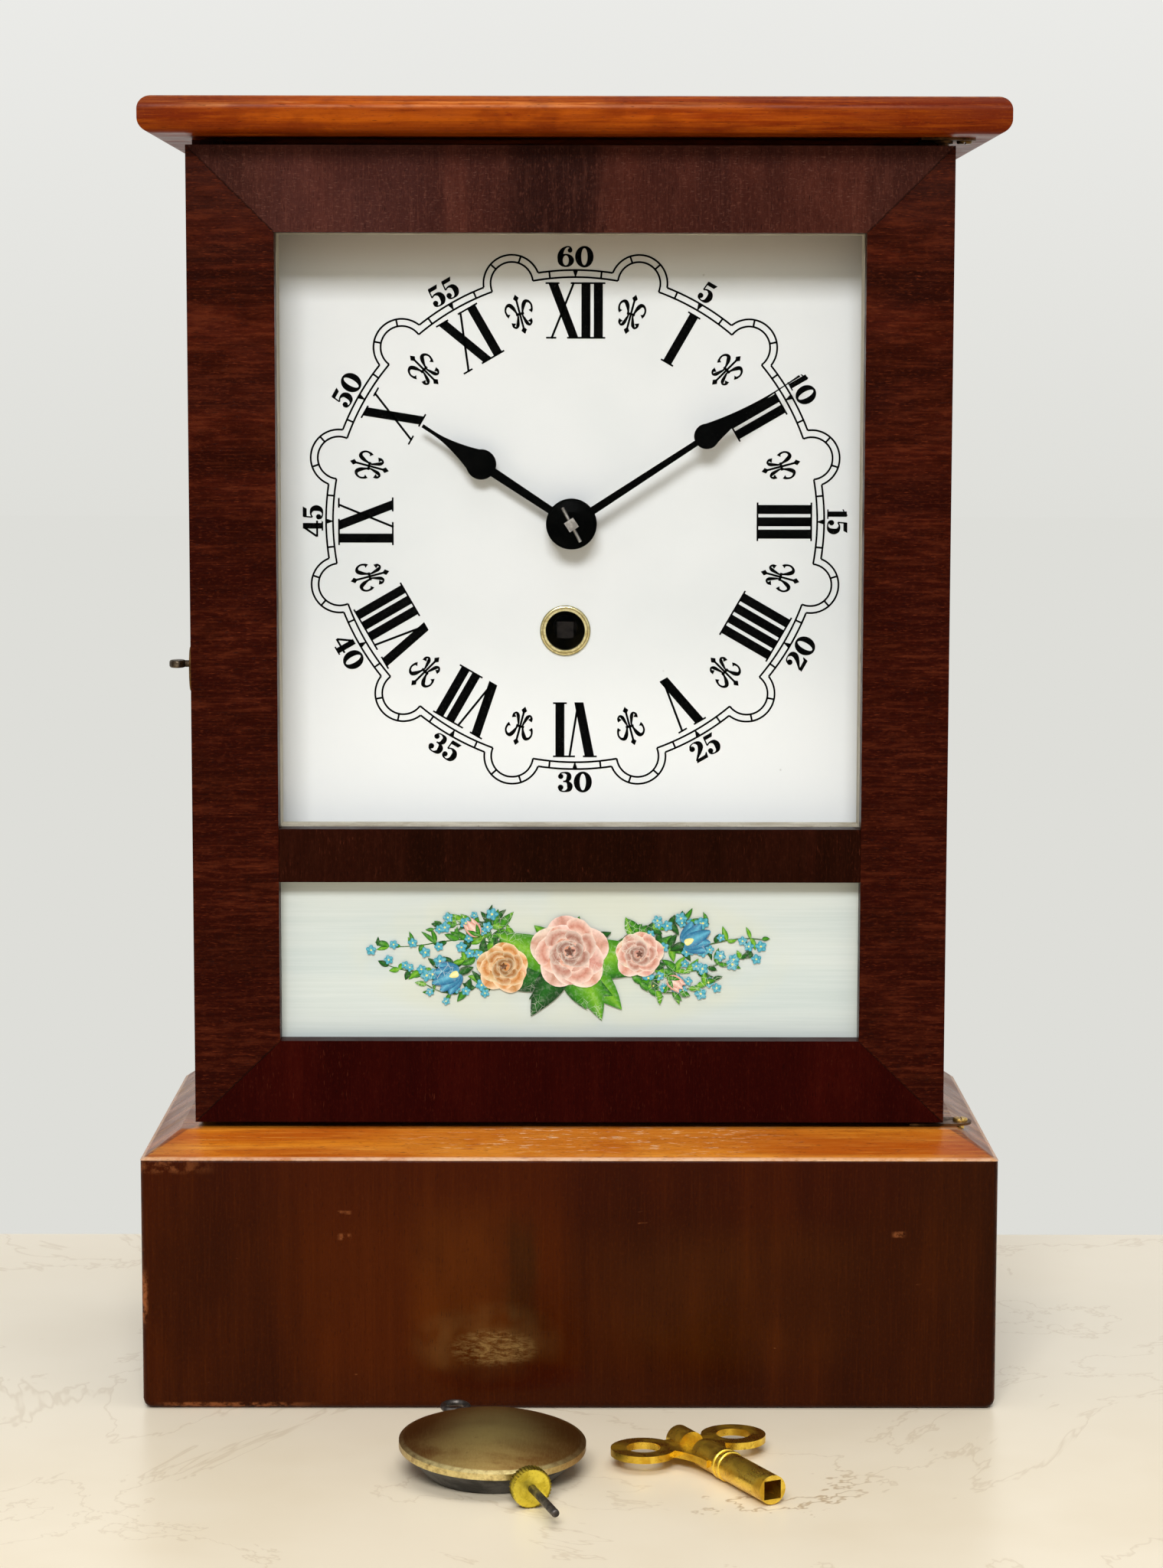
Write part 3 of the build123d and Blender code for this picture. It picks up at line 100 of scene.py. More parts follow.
def linear(r, g, b):
    """An sRGB colour, 0 to 255, as the shader takes it."""
    def one(v):
        v /= 255
        return v / 12.92 if v <= 0.04045 else ((v + 0.055) / 1.055) ** 2.4
    return (one(r), one(g), one(b), 1.0)


def times(share, colour):
    """A linear colour made darker or brighter."""
    return tuple(share * c for c in colour[:3]) + (1.0,)


def drawn(axis, share):
    """The scale that draws a cloud out along one axis."""
    return tuple(share if a == axis else 1 for a in "XYZ")


def middle(box):
    return (box[0] + box[1]) / 2


def in_mm(box):
    return [corner / MM for corner in box]


class Finish:
    """The shader of a new material, or of the world, written as plain expressions."""

    def __init__(self, name, kind="materials", coordinates="Object"):
        self.owner = getattr(bpy.data, kind).new(name)
        self.owner.use_nodes = True
        self.tree = self.owner.node_tree
        self.tree.nodes.clear()
        self.place = self.node("ShaderNodeTexCoord", {}, {}, coordinates)
        split = self.node("ShaderNodeSeparateXYZ", {}, {0: self.place}).socket.node
        self.x, self.y, self.z = (Wire(self, output) for output in split.outputs)

    def node(self, kind, settings, inputs, output=0):
        made = self.tree.nodes.new(kind)
        for key, value in settings.items():
            setattr(made, key, value)
        for key, value in inputs.items():
            if isinstance(value, Wire):
                self.tree.links.new(value.socket, made.inputs[key])
            else:
                made.inputs[key].default_value = value
        return Wire(self, made.outputs[output])

    def noise(self, size, detail=3.0, rough=0.6, twist=0.0, scale=None, shift=(0, 0, 0), turn=0.0):
        """Soft random cloud. Size is the span of one patch in millimetres, and a scale below 1 draws it out."""
        where = self.place if scale is None else self.node(
            "ShaderNodeMapping", {}, {"Vector": self.place, "Location": shift, "Rotation": (0, 0, turn),
                                      "Scale": scale})
        return self.node("ShaderNodeTexNoise", {}, {"Vector": where, "Scale": 1 / (size * MM), "Detail": detail,
                                                    "Roughness": rough, "Distortion": twist})

    def cells(self, size, feature="F1"):
        return self.node("ShaderNodeTexVoronoi", {"feature": feature},
                         {"Vector": self.place, "Scale": 1 / (size * MM)}, "Distance")

    def radius(self, centre, first="x", second="z"):
        """How far a place lies from a centre, in the plane of two axes."""
        across, up = ((getattr(self, axis) - getattr(centre, axis)) ** 2 for axis in (first, second))
        return (across + up) ** 0.5

    def blend(self, amount, under, over):
        """Over laid on under. A colour of three numbers is sRGB, 0 to 255, and one of four is linear."""
        under, over = (linear(*c) if isinstance(c, tuple) and len(c) == 3 else c for c in (under, over))
        return self.node("ShaderNodeMix", {"data_type": "RGBA"}, {0: amount, 6: under, 7: over}, 2)

    def coats(self, colour, *layers):
        """Lays thin coats over a colour, each given as its amount and its own colour."""
        for amount, paint in layers:
            colour = self.blend(amount, colour, paint)
        return colour

    def seen(self):
        """1 for what shows, straight on, in a gloss or through glass, and 0 for the light that a thing gives."""
        rays = self.node("ShaderNodeLightPath", {}, {}).socket.node.outputs
        straight, gloss, through = (Wire(self, rays[f"Is {kind} Ray"]) for kind in ("Camera", "Glossy", "Transmission"))
        return (straight + gloss + through).held()

    def ends(self, surface, output="ShaderNodeOutputMaterial"):
        self.tree.links.new(surface.socket, self.tree.nodes.new(output).inputs["Surface"])
        return self.owner

    def done(self, colour, rough, bump=None, **inputs):
        """Ends the finish in one Principled shader. bump is a height, its depth in millimetres and its strength.
        The underscores in an input's name stand for spaces."""
        inputs = {k.replace("_", " "): v for k, v in inputs.items()} | {"Base Color": colour, "Roughness": rough}
        if bump:
            height, depth, strength = bump
            inputs["Normal"] = self.node("ShaderNodeBump", {}, {"Height": height, "Distance": depth * MM,
                                                                "Strength": strength})
        return self.ends(self.node("ShaderNodeBsdfPrincipled", {}, inputs))


# --- Finishes ---

def veneer(name, grain, dark, mid, light, shift=(0, 0, 0), band=30.0, figure=0.3, line=3.2, run=0.025, fine=0.4,
           mottle=0.0, pore=0.22, hairs=0.0, wear=None, worn=(0, 0, 0), tone=None, gloss=0.26, dimple=1.5, peel=0.05,
           shine=0.06):
    """Polished veneer. grain is the axis that the wood runs along, and sizes are in millimetres across it."""
    f = Finish(name)
    dark, mid, light = linear(*dark), linear(*mid), linear(*light)

    def streaks(size, share, detail=3.0, rough=0.6, twist=0.0, apart=0.0):
        return f.noise(size, detail, rough, twist, drawn(grain, share), tuple(v + apart for v in shift))

    bands = streaks(band, 0.10, twist=0.9)
    lines = streaks(line, run)
    fibres = streaks(0.5, 0.03, rough=0.65)
    clouds = streaks(band * 0.8, 0.6, rough=0.55)
    colour = f.blend(bands.rise(0.34, 0.66), dark, mid)
    if tone is not None:
        colour = tone(f, colour)
    pores = streaks(pore, 0.09, 1.0, 0.5).rise(0.34, 0.27)
    colour = f.coats(
        colour,
        (lines.rise(0.45, 0.7) * figure * bands.rise(0.3, 0.6), light),
        (lines.rise(0.5, 0.3) * figure, dark),
        (clouds.rise(0.52, 0.34) * 0.5, dark),
        (fibres.rise(0.5, 0.8) * fine, light),
        (fibres.rise(0.48, 0.2) * (1.25 * fine), times(0.5, dark)),
        (pores * 0.65, times(0.3, dark)))
    if mottle:
        grains = streaks(0.55, 0.45, rough=0.7)
        colour = f.coats(colour, (grains.rise(0.52, 0.70) * mottle, light), (grains.rise(0.46, 0.30) * mottle, dark))
    if hairs:
        pale = streaks(pore, 0.09, 1.0, 0.4, apart=0.7).rise(0.64, 0.74)
        colour = f.blend(pale * hairs * (0.4 + clouds), colour, times(1.25, light))
    rough = gloss + 0.12 * clouds.rise(0.4, 0.7) + 0.15 * pores
    if wear is not None:
        rubbed = (wear(f) * f.noise(2.4, 4.0, 0.65).rise(0.38, 0.60)).held()
        colour = f.blend(rubbed, colour, worn)
        rough = rough + 0.15 * rubbed
    dimples = f.noise(dimple, 2.0, 0.5)
    return f.done(colour, rough, (dimples + fibres * 0.35 - pores * 0.8, peel, 0.4), Specular_IOR_Level=shine)


def plain_pine(name, grain, shift, shade=0.9):
    f = Finish(name)
    scale = drawn(grain, 0.05)
    rings = f.noise(9.0, 3.0, 0.5, 1.2, scale, shift)
    fibres = f.noise(0.6, scale=scale, shift=shift)
    growth = f.noise(2.6, 3.0, 0.6, 0.4, scale, shift)
    dust = f.noise(35.0, 4.0)
    colour = f.coats(
        times(shade, linear(206, 168, 118)),
        (rings.rise(0.4, 0.62), times(shade, linear(176, 128, 78))),
        (fibres.rise(0.5, 0.7) * 0.35, (128, 88, 52)),
        (growth.rise(0.52, 0.66) * 0.4, (150, 104, 62)),
        (dust.rise(0.5, 0.75) * 0.22, (110, 84, 60)))
    return f.done(colour, 0.62 + 0.15 * dust, (fibres + rings * 0.5, 0.12, 0.5))


def metal(name, bright, dull, dirt, rough, grain=(1, 1, 1), spot=0.3, patch=9.0, metallic=1.0, bump=0.02, tone=None):
    """Worn metal: brushed along the axis whose grain is smallest, dulled in patches, with dirt in spots."""
    f = Finish(name)
    brushed = f.noise(0.5, scale=grain)
    spots = f.noise(patch * 0.22, 4.0, 0.7)
    tarnish = f.noise(patch, 4.0, 0.6, 0.4).rise(0.42, 0.66)
    colour = f.coats(
        bright, (tarnish, dull), ((spots.rise(0.56, 0.72) * spot).held(), dirt),
        (brushed.rise(0.4, 0.7) * 0.18, dull))
    if tone is not None:
        colour = tone(f, colour)
    rough = rough + 0.22 * tarnish + 0.1 * brushed
    return f.done(colour, rough, (brushed + spots * 0.6, bump, 0.4), Metallic=metallic)


def dial_paint():
    """Old white paint with soft clouds and a few specks, painted lighter low down, with a painted shadow of the door's
    top rail across its top and painted shade along its two upright edges.
    """
    f = Finish("dial_white_paint")
    cloud = f.noise(46.0, 3.0, 0.5)
    edge = (abs(f.x - middle(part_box("dial_plate")).x) - 73.5 * MM).span(0, 5)
    speck = f.cells(7.0).rise(0.055, 0.03) * f.noise(12.0, 1.0, 0.55).rise(0.56, 0.62)
    colour = f.coats(
        (215, 219, 220),
        (cloud.rise(0.35, 0.7), (221, 224, 225)),
        # Painted light: paler towards the bottom.
        (f.z.span(215, 155) * 0.9, (246, 248, 247)),
        # Painted shade along the two upright edges, beside the door's stiles.
        (edge * 0.15, (206, 196, 180)),
        # Painted shadow of the door's top rail: a brownish band across the top.
        (f.z.span(295, 307) * 0.55, (160, 138, 112)),
        (speck * 0.35, (150, 146, 140)))
    return f.done(colour, 0.42 + 0.08 * cloud, (f.noise(0.8, 2.0, 0.5), 0.01, 0.3), Specular_IOR_Level=0.3)


def black_enamel(name, rough=0.3, ink=False):
    f = Finish(name)
    wear = f.noise(3.0, 4.0)
    colour = f.blend(wear.rise(0.45, 0.7), (0.0004, 0.0004, 0.0004, 1), (0.0018, 0.0017, 0.0016, 1))
    if ink:
        pinholes = f.noise(0.25, 1.0, 0.4).rise(0.70, 0.76)
        colour = f.blend(pinholes * 0.5, colour, (0.12, 0.12, 0.12, 1))
    return f.done(colour, rough + 0.15 * wear, (f.noise(0.45, 2.0, 0.5), 0.01, 0.3), Specular_IOR_Level=0.01)


def clear_glass():
    f = Finish("old_clear_glass")
    waves = f.noise(40.0, 2.0, 0.4, scale=(1, 1, 0.35))
    smear = f.noise(22.0, 3.0, 0.5, scale=(1, 1, 0.2))
    edge_on = f.node("ShaderNodeLayerWeight", {}, {"Blend": 0.5}, "Facing") ** 4
    colour = f.blend(smear.rise(0.4, 0.7), (0.04, 0.06, 0.05, 1), (0.10, 0.12, 0.11, 1))
    return f.done(colour, 0.03 + 0.03 * smear, (waves, 0.05, 0.2), Specular_IOR_Level=0.2,
                  Alpha=0.005 + 0.5 * edge_on * (0.8 + 0.4 * smear))


def tablet_ground():
    """The pale paint behind the lower glass, brushed along, with a faint yellowed patch round the spray and painted
    shade along its sides and top.
    """
    f = Finish("tablet_pale_ground")
    brush = f.noise(0.8, 4.0, 0.7, scale=(0.015, 1, 1))
    broad = f.noise(9.0, 3.0, 0.5, scale=(0.08, 1, 1))
    cloud = f.noise(20.0, 3.0, 0.5)
    mid = middle(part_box("tablet_glass"))
    across = (abs(f.x - mid.x) / (58 * MM)) ** 2 + (abs(f.z - mid.z) / (19.5 * MM)) ** 2
    patch = (1 - across).rise(-0.15, 0.25) * cloud.rise(0.30, 0.62)
    edge = (abs(f.x - mid.x) - 72.5 * MM).span(0, 6).most((f.z - mid.z).span(16, 24))
    colour = f.coats(
        (196, 207, 204),
        (broad.rise(0.35, 0.65), (206, 214, 209)),
        (brush.rise(0.35, 0.7) * 0.30, (226, 231, 228)),
        (patch * 0.5, (212, 214, 192)),
        # Painted shade along the sides and the top, beside the door frame.
        (edge * 0.4, (196, 200, 184)))
    return f.done(colour, 0.35 + 0.1 * brush, Coat_Weight=0.35, Coat_Roughness=0.04, Specular_IOR_Level=0.3)


def spray_paint():
    """The print on the tablet: colours come with the petals and leaves, with a fine crackle over them."""
    f = Finish("tablet_spray_paint")
    ink = f.node("ShaderNodeVertexColor", {"layer_name": "paint"}, {}, "Color")
    crackle = f.cells(1.7, "DISTANCE_TO_EDGE").rise(0.035, 0.0)
    mottle = f.noise(0.9)
    colour = f.coats(
        ink,
        (mottle.rise(0.45, 0.75) * 0.12, (246, 243, 230)),
        (mottle.rise(0.55, 0.25) * 0.18, (46, 60, 24)),
        (crackle * f.noise(14.0, 2.0, 0.5).rise(0.5, 0.6) * 0.6, (236, 236, 222)))
    return f.done(colour, 0.38 + 0.1 * mottle, Coat_Weight=0.1, Coat_Roughness=0.04, Specular_IOR_Level=0.15)


def bob_patina():
    """Rubbed olive brass on the bob's dome under a brown patina, with dirt spots: paler in the middle as a painted
    highlight, darker towards the left and right, lighter at the front as a painted highlight, and a paler golden rim,
    partly rubbed brass and partly a painted highlight that is brightest at the front.
    """
    f = Finish("bob_brown_patina")
    centre = middle(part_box("bob_weight"))
    x, y = centre.x / MM, centre.y / MM
    front = f.x.near(x - 4, 26) * f.y.span(y + 4, y - 14)
    radius = f.radius(centre, "x", "y")
    # The rim: partly rubbed brass, partly a painted highlight that is brightest at the front.
    rim = radius.span(21.8, 22.4) * (0.25 + 0.75 * front)
    swirl = f.noise(9.0, 4.0, 0.6, 0.4, scale=(0.5, 1, 1), turn=0.35)
    spots = f.noise(1.6, 4.0, 0.7)
    brushed = f.noise(0.4, scale=(1, 0.05, 1), turn=0.35)
    drift = (swirl - 0.5) * 0.012
    colour = f.coats(
        (164, 146, 92),
        # Painted highlight: the dome paler in the middle, browner further out.
        ((radius + drift).span(4, 19), (122, 84, 40)),
        ((f.x + drift).span(x - 4, x - 20) * 0.55, (112, 68, 28)),
        ((f.x + drift).span(x + 8, x + 21) * 0.35, (120, 78, 34)),
        # Painted highlight: lighter swirls over the front of the dome.
        (front * swirl.rise(0.35, 0.6) * 0.35, (196, 178, 112)),
        (spots.rise(0.58, 0.74) * 0.35, (92, 60, 28)),
        (brushed.rise(0.4, 0.75) * 0.15, (190, 166, 108)),
        (rim * spots.rise(0.85, 0.35), (226, 208, 146)))
    return f.done(colour, 0.36 + 0.14 * swirl - 0.10 * rim, (brushed + spots * 0.5, 0.03, 0.35), Metallic=1.0)


def oiled_plate():
    """The brass front plate, painted near-black round the winding arbor's hole as the shade inside the hole."""
    f = Finish("movement_plate_oiled")
    brushed = f.noise(0.5, scale=(1, 1, 0.04))
    patches = f.noise(9.0, 4.0, 0.6, 0.4).rise(0.42, 0.66)
    # Painted shade: near-black round the winding arbor's hole.
    arbor_hole_shade = (f.radius(middle(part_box("winding_arbor"))) + patches * 0.0015).span(12.5, 8.5)
    colour = f.coats(
        (214, 180, 104), (patches, (170, 134, 70)), (brushed.rise(0.4, 0.7) * 0.2, (150, 116, 60)),
        (arbor_hole_shade * 0.97, (14, 10, 6)))
    return f.done(colour, 0.3 + 0.2 * patches + 0.3 * arbor_hole_shade, (brushed, 0.02, 0.4), Metallic=1.0)


def grommet_brass():
    """Pale rolled brass whose inner lip is painted near-black as the shade in the bore."""
    f = Finish("grommet_pale_brass")
    lo, hi = in_mm(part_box("winding_grommet"))
    radius, rim = f.radius((lo + hi) / 2 * MM), (hi.x - lo.x) / 2
    spots = f.noise(1.2, 4.0, 0.7)
    spun = f.noise(0.3)
    lip = radius.span(5.5, 5.1)
    colour = f.coats(
        (236, 226, 176),
        (spots.rise(0.4, 0.65), (198, 184, 128)),
        (radius.span(rim - 0.6, rim) * 0.5, (96, 86, 44)),
        (radius.near(6.0, 0.3) * 0.6, (124, 104, 54)),
        # Painted shade: the inner lip near-black, as the shade in the bore.
        (lip * 0.96, (22, 18, 12)))
    return f.done(colour, 0.16 + 0.1 * spun + 0.5 * lip, (spun + spots * 0.5, 0.02, 0.4), Metallic=1.0)


TABLE_BACK = 137
WALL_LOW, WALL_HIGH = linear(222, 222, 217), linear(236, 236, 233)


def floor_and_wall():
    """A pale cream table top. Past its back edge the same sheet shows the plain pale wall."""
    f = Finish("pale_table_top")
    cloud = f.noise(120.0, 4.0)
    vein = abs(f.noise(160.0, 6.0, 0.6, 1.5, (1, 1, 1), (0.3, 0.1, 0)) - 0.5).rise(0.008, 0.0)
    strong = f.x.near(52, 30) * f.y.near(-135, 35)
    colour = f.coats(
        (244, 230, 204),
        (cloud.rise(0.35, 0.7), (237, 221, 192)),
        (f.y.span(-130, 0) * 0.5, (250, 241, 222)),
        (vein * (0.22 + 0.5 * strong), (176, 146, 104)))
    top = f.node("ShaderNodeBsdfPrincipled", {}, {"Base Color": colour, "Roughness": 0.32, "Specular IOR Level": 0.3})
    wall = f.node("ShaderNodeEmission", {}, {"Color": WALL_LOW, "Strength": 1.0})
    beyond = f.y.span(TABLE_BACK - 1, TABLE_BACK + 1)
    return f.ends(f.node("ShaderNodeMixShader", {}, {0: beyond * f.seen(), 1: top, 2: wall}))


# --- Making pieces ---

SHARP = math.radians(28)
FLAT = math.radians(1.0)
WELD, LEVEL = 2e-6, 1e-5
CAD_CORNER = 2.6 * MM


def give(finish, *node_names):
    """Puts a finish on the slots of CAD nodes."""
    for node_name in node_names:
        for slot in nodes[node_name].material_slots:
            slot.material = finish


def linked(name, data):
    """A new object in the scene."""
    made = bpy.data.objects.new(name, data)
    bpy.context.collection.objects.link(made)
    return made


def evaluated_mesh(source):
    """What a helper object's modifiers make of it, as a plain mesh. The helper is removed."""
    done = bpy.data.meshes.new_from_object(source.evaluated_get(bpy.context.evaluated_depsgraph_get()))
    bpy.data.objects.remove(source)
    return done


def piece(name, mesh, material, body):
    """A finished piece at the origin, riding on its body. Its mesh takes this material only."""
    mesh.materials.clear()
    mesh.materials.append(material)
    made = linked(name, mesh)
    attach(made, body)
    return made


def welded(node_name):
    """The CAD node's shape, open to changes, with its doubled points joined."""
    b = bmesh.new()
    b.from_mesh(nodes[node_name].data)
    bmesh.ops.remove_doubles(b, verts=b.verts, dist=WELD)
    return b


def closed(b, mesh):
    b.to_mesh(mesh)
    b.free()
    return mesh


def softened(node_name, width, material, segments=2, rounded=0.0):
    """The CAD node with its sharp arrises eased, as hand-finished wood has them. It stands for the node.
    With rounded set, the outer edges of the base's foot get that larger radius."""
    b = welded(node_name)
    bmesh.ops.dissolve_limit(b, angle_limit=FLAT, verts=b.verts, edges=b.edges)
    if rounded:
        lo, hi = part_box(node_name)
        base_front_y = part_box("base_front")[0].y
        share = b.edges.layers.float.new("bevel_weight_edge")
        for edge in b.edges:
            ends = [v.co for v in edge.verts]
            halfway = (ends[0] + ends[1]) / 2
            outer = abs(halfway.x) > hi.x - CAD_CORNER or halfway.y < base_front_y + CAD_CORNER
            foot = all(abs(c.z - lo.z) < LEVEL for c in ends)
            sharp = len(edge.link_faces) == 2 and edge.calc_face_angle(0.0) > SHARP
            edge[share] = (1.0 if foot and outer else width / rounded) if sharp else 0.0
    mesh = closed(b, bpy.data.meshes.new(node_name + "_eased"))
    for extra in ("custom_normal", "sharp_edge", "sharp_face"):
        if extra in mesh.attributes:
            mesh.attributes.remove(mesh.attributes[extra])
    mesh.materials.clear()
    mesh.polygons.foreach_set("use_smooth", [True] * len(mesh.polygons))
    temp = linked("easing", mesh)
    bevel = temp.modifiers.new("ease", "BEVEL")
    bevel.width, bevel.segments = (rounded or width) * MM, segments
    bevel.limit_method = "WEIGHT" if rounded else "ANGLE"
    bevel.angle_limit, bevel.harden_normals = SHARP, True
    done = evaluated_mesh(temp)
    done.name = mesh.name
    made = piece(done.name, done, material, body_of_node[node_name])
    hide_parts(node_name)


def scattered(name, flower, host_mesh, paint, seed):
    """Geometry Nodes: the flower on every point of the host, at a chance turn and the size that the point carries.
    The result is one plain mesh."""
    tree = bpy.data.node_groups.new("scatter_flowers", "GeometryNodeTree")
    for label, way in (("Host", "INPUT"), ("Flowers", "OUTPUT")):
        tree.interface.new_socket(label, in_out=way, socket_type="NodeSocketGeometry")
    given, out, info, place, size, chance, turn, real, painted = (tree.nodes.new(kind) for kind in (
        "NodeGroupInput", "NodeGroupOutput", "GeometryNodeObjectInfo", "GeometryNodeInstanceOnPoints",
        "GeometryNodeInputNamedAttribute", "FunctionNodeRandomValue", "ShaderNodeCombineXYZ",
        "GeometryNodeRealizeInstances", "GeometryNodeSetMaterial"))
    pattern, host = linked(flower.name, flower), linked("growing", host_mesh)
    size.data_type = chance.data_type = "FLOAT"
    for socket, value in ((info.inputs["Object"], pattern), (painted.inputs["Material"], paint),
                          (size.inputs["Name"], "size"), (chance.inputs[3], 2 * math.pi),
                          (chance.inputs["Seed"], seed)):
        socket.default_value = value
    for source, target in ((given.outputs[0], place.inputs["Points"]),
                           (info.outputs["Geometry"], place.inputs["Instance"]),
                           (chance.outputs[1], turn.inputs["Y"]),
                           (turn.outputs[0], place.inputs["Rotation"]),
                           (size.outputs[0], place.inputs["Scale"]),
                           (place.outputs[0], real.inputs[0]),
                           (real.outputs[0], painted.inputs["Geometry"]),
                           (painted.outputs[0], out.inputs[0])):
        tree.links.new(source, target)
    host.modifiers.new("grow", "NODES").node_group = tree
    done = evaluated_mesh(host)
    bpy.data.objects.remove(pattern)
    done.name = name
    return done


# --- Flat ink and paint ---

def sides(path, widths):
    """The two side points of a strip at each point of its path."""
    for k, (u, v) in enumerate(path):
        a, b = path[max(k - 1, 0)], path[min(k + 1, len(path) - 1)]
        du, dv = b[0] - a[0], b[1] - a[1]
        half = widths[k] / 2 / (math.hypot(du, dv) or 1.0)
        yield (u - dv * half, v + du * half), (u + dv * half, v - du * half)


def facing_front(mesh):
    """Turns every face of a flat mesh towards the front."""
    b = bmesh.new()
    b.from_mesh(mesh)
    for face in b.faces:
        if face.normal.y > 0:
            face.normal_flip()
    return closed(b, mesh)


def on_circle(centre, radius, angle):
    """A point on a circle; the angle runs clockwise from straight up, in degrees."""
    return (centre[0] + radius * math.sin(math.radians(angle)), centre[1] + radius * math.cos(math.radians(angle)))


def arc(centre, radius, start, end, steps):
    return [on_circle(centre, radius, start + (end - start) * k / steps) for k in range(steps + 1)]


def ellipse(centre, wide, tall, turns):
    return [(centre[0] + wide * math.cos(2 * math.pi * k / turns), centre[1] + tall * math.sin(2 * math.pi * k / turns))
            for k in range(turns)]


class Pen:
    """Flat ink, drawn as strips in millimetres on the dial's plane: u to the right and v up."""

    def __init__(self):
        self.points, self.faces = [], []

    def quad(self, *corners):
        start = len(self.points)
        self.points += corners
        self.faces.append(tuple(range(start, start + len(corners))))

    def stroke(self, path, widths):
        """A strip along the path, with one width or its own width at each point."""
        if isinstance(widths, (int, float)):
            widths = [widths] * len(path)
        pairs = list(sides(path, widths))
        for (a, b), (c, d) in zip(pairs, pairs[1:]):
            self.quad(a, b, d, c)

    def curve(self, knots, steps=6):
        """A smooth strip through (u, v, width) knots."""
        path, widths = [], []
        for k in range(len(knots) - 1):
            p0, p1, p2, p3 = (knots[max(k - 1, 0)], knots[k], knots[k + 1], knots[min(k + 2, len(knots) - 1)])
            for s in range(steps + (k == len(knots) - 2)):
                t = s / steps
                u, v, width = [0.5 * (2 * p1[i] + (p2[i] - p0[i]) * t
                                      + (2 * p0[i] - 5 * p1[i] + 4 * p2[i] - p3[i]) * t * t
                                      + (3 * p1[i] - p0[i] - 3 * p2[i] + p3[i]) * t ** 3) for i in range(3)]
                path.append((u, v))
                widths.append(max(width, 0.05))
        self.stroke(path, widths)

    def ring(self, centre, outer, inner, turns=40):
        """The space between two ellipses."""
        rim, hole = (ellipse(centre, *size, turns) for size in (outer, inner))
        for k in range(turns):
            n = (k + 1) % turns
            self.quad(rim[k], rim[n], hole[n], hole[k])

    def disc(self, centre, radius, turns=16):
        self.quad(*ellipse(centre, radius, radius, turns))

    def placed(self, other, turn=0.0, shift=(0.0, 0.0)):
        """Adds another pen's ink, moved and then turned clockwise in degrees."""
        start = len(self.points)
        c, s = math.cos(math.radians(turn)), math.sin(math.radians(turn))
        for u, v in other.points:
            u, v = u + shift[0], v + shift[1]
            self.points.append((u * c + v * s, -u * s + v * c))
        self.faces += [tuple(start + k for k in face) for face in other.faces]

    def mesh(self, name, centre, depth):
        made = bpy.data.meshes.new(name)
        made.from_pydata([((centre[0] + u) * MM, depth, (centre[1] + v) * MM) for u, v in self.points], [], self.faces)
        return facing_front(made)


# --- Print on the dial, in millimetres from its middle ---

PRINT_X, PRINT_Z = 1.33, 232.42
PRINT_GAP = 0.06
LINE = 0.50
TRACK_OUT, TRACK_IN = 66.4, 64.55
LOBE_AT, LOBE_OUT, LOBE_IN = 65.1, 7.5, 5.62
TICK_ROUND = 33.5
TRACK_STEPS, LOBE_STEPS = 14, 44
ORNAMENT_AT = 56.7
NUMERAL_LOW, NUMERAL_HIGH = 48.4, 63.2
BAR, THIN, SERIF, SERIF_OUT = 2.40, 0.58, 0.46, 0.66
X_WIDE, V_WIDE, AFTER_I, AFTER_WIDE = 8.1, 7.3, 0.88, 0.75
FIGURE_AT, FIGURE_TALL, FIGURE_SPACE = 69.9, 5.2, 0.28
HOURS = ("XII", "I", "II", "III", "IIII", "V", "VI", "VII", "VIII", "IX", "X", "XI")
SCROLL = ((2.19, -1.9, 1.24), (2.42, -2.7, 0.65), (1.86, -3.25, 0.54), (1.30, -2.7, 0.92), (0.90, -1.5, 0.72),
          (0.62, -0.3, 0.46), (0.95, 0.9, 0.58), (1.45, 2.1, 1.02), (2.14, 2.95, 1.02), (3.02, 2.75, 0.64),
          (3.53, 1.75, 0.50), (3.35, 0.6, 0.61), (2.84, 0.1, 1.14))

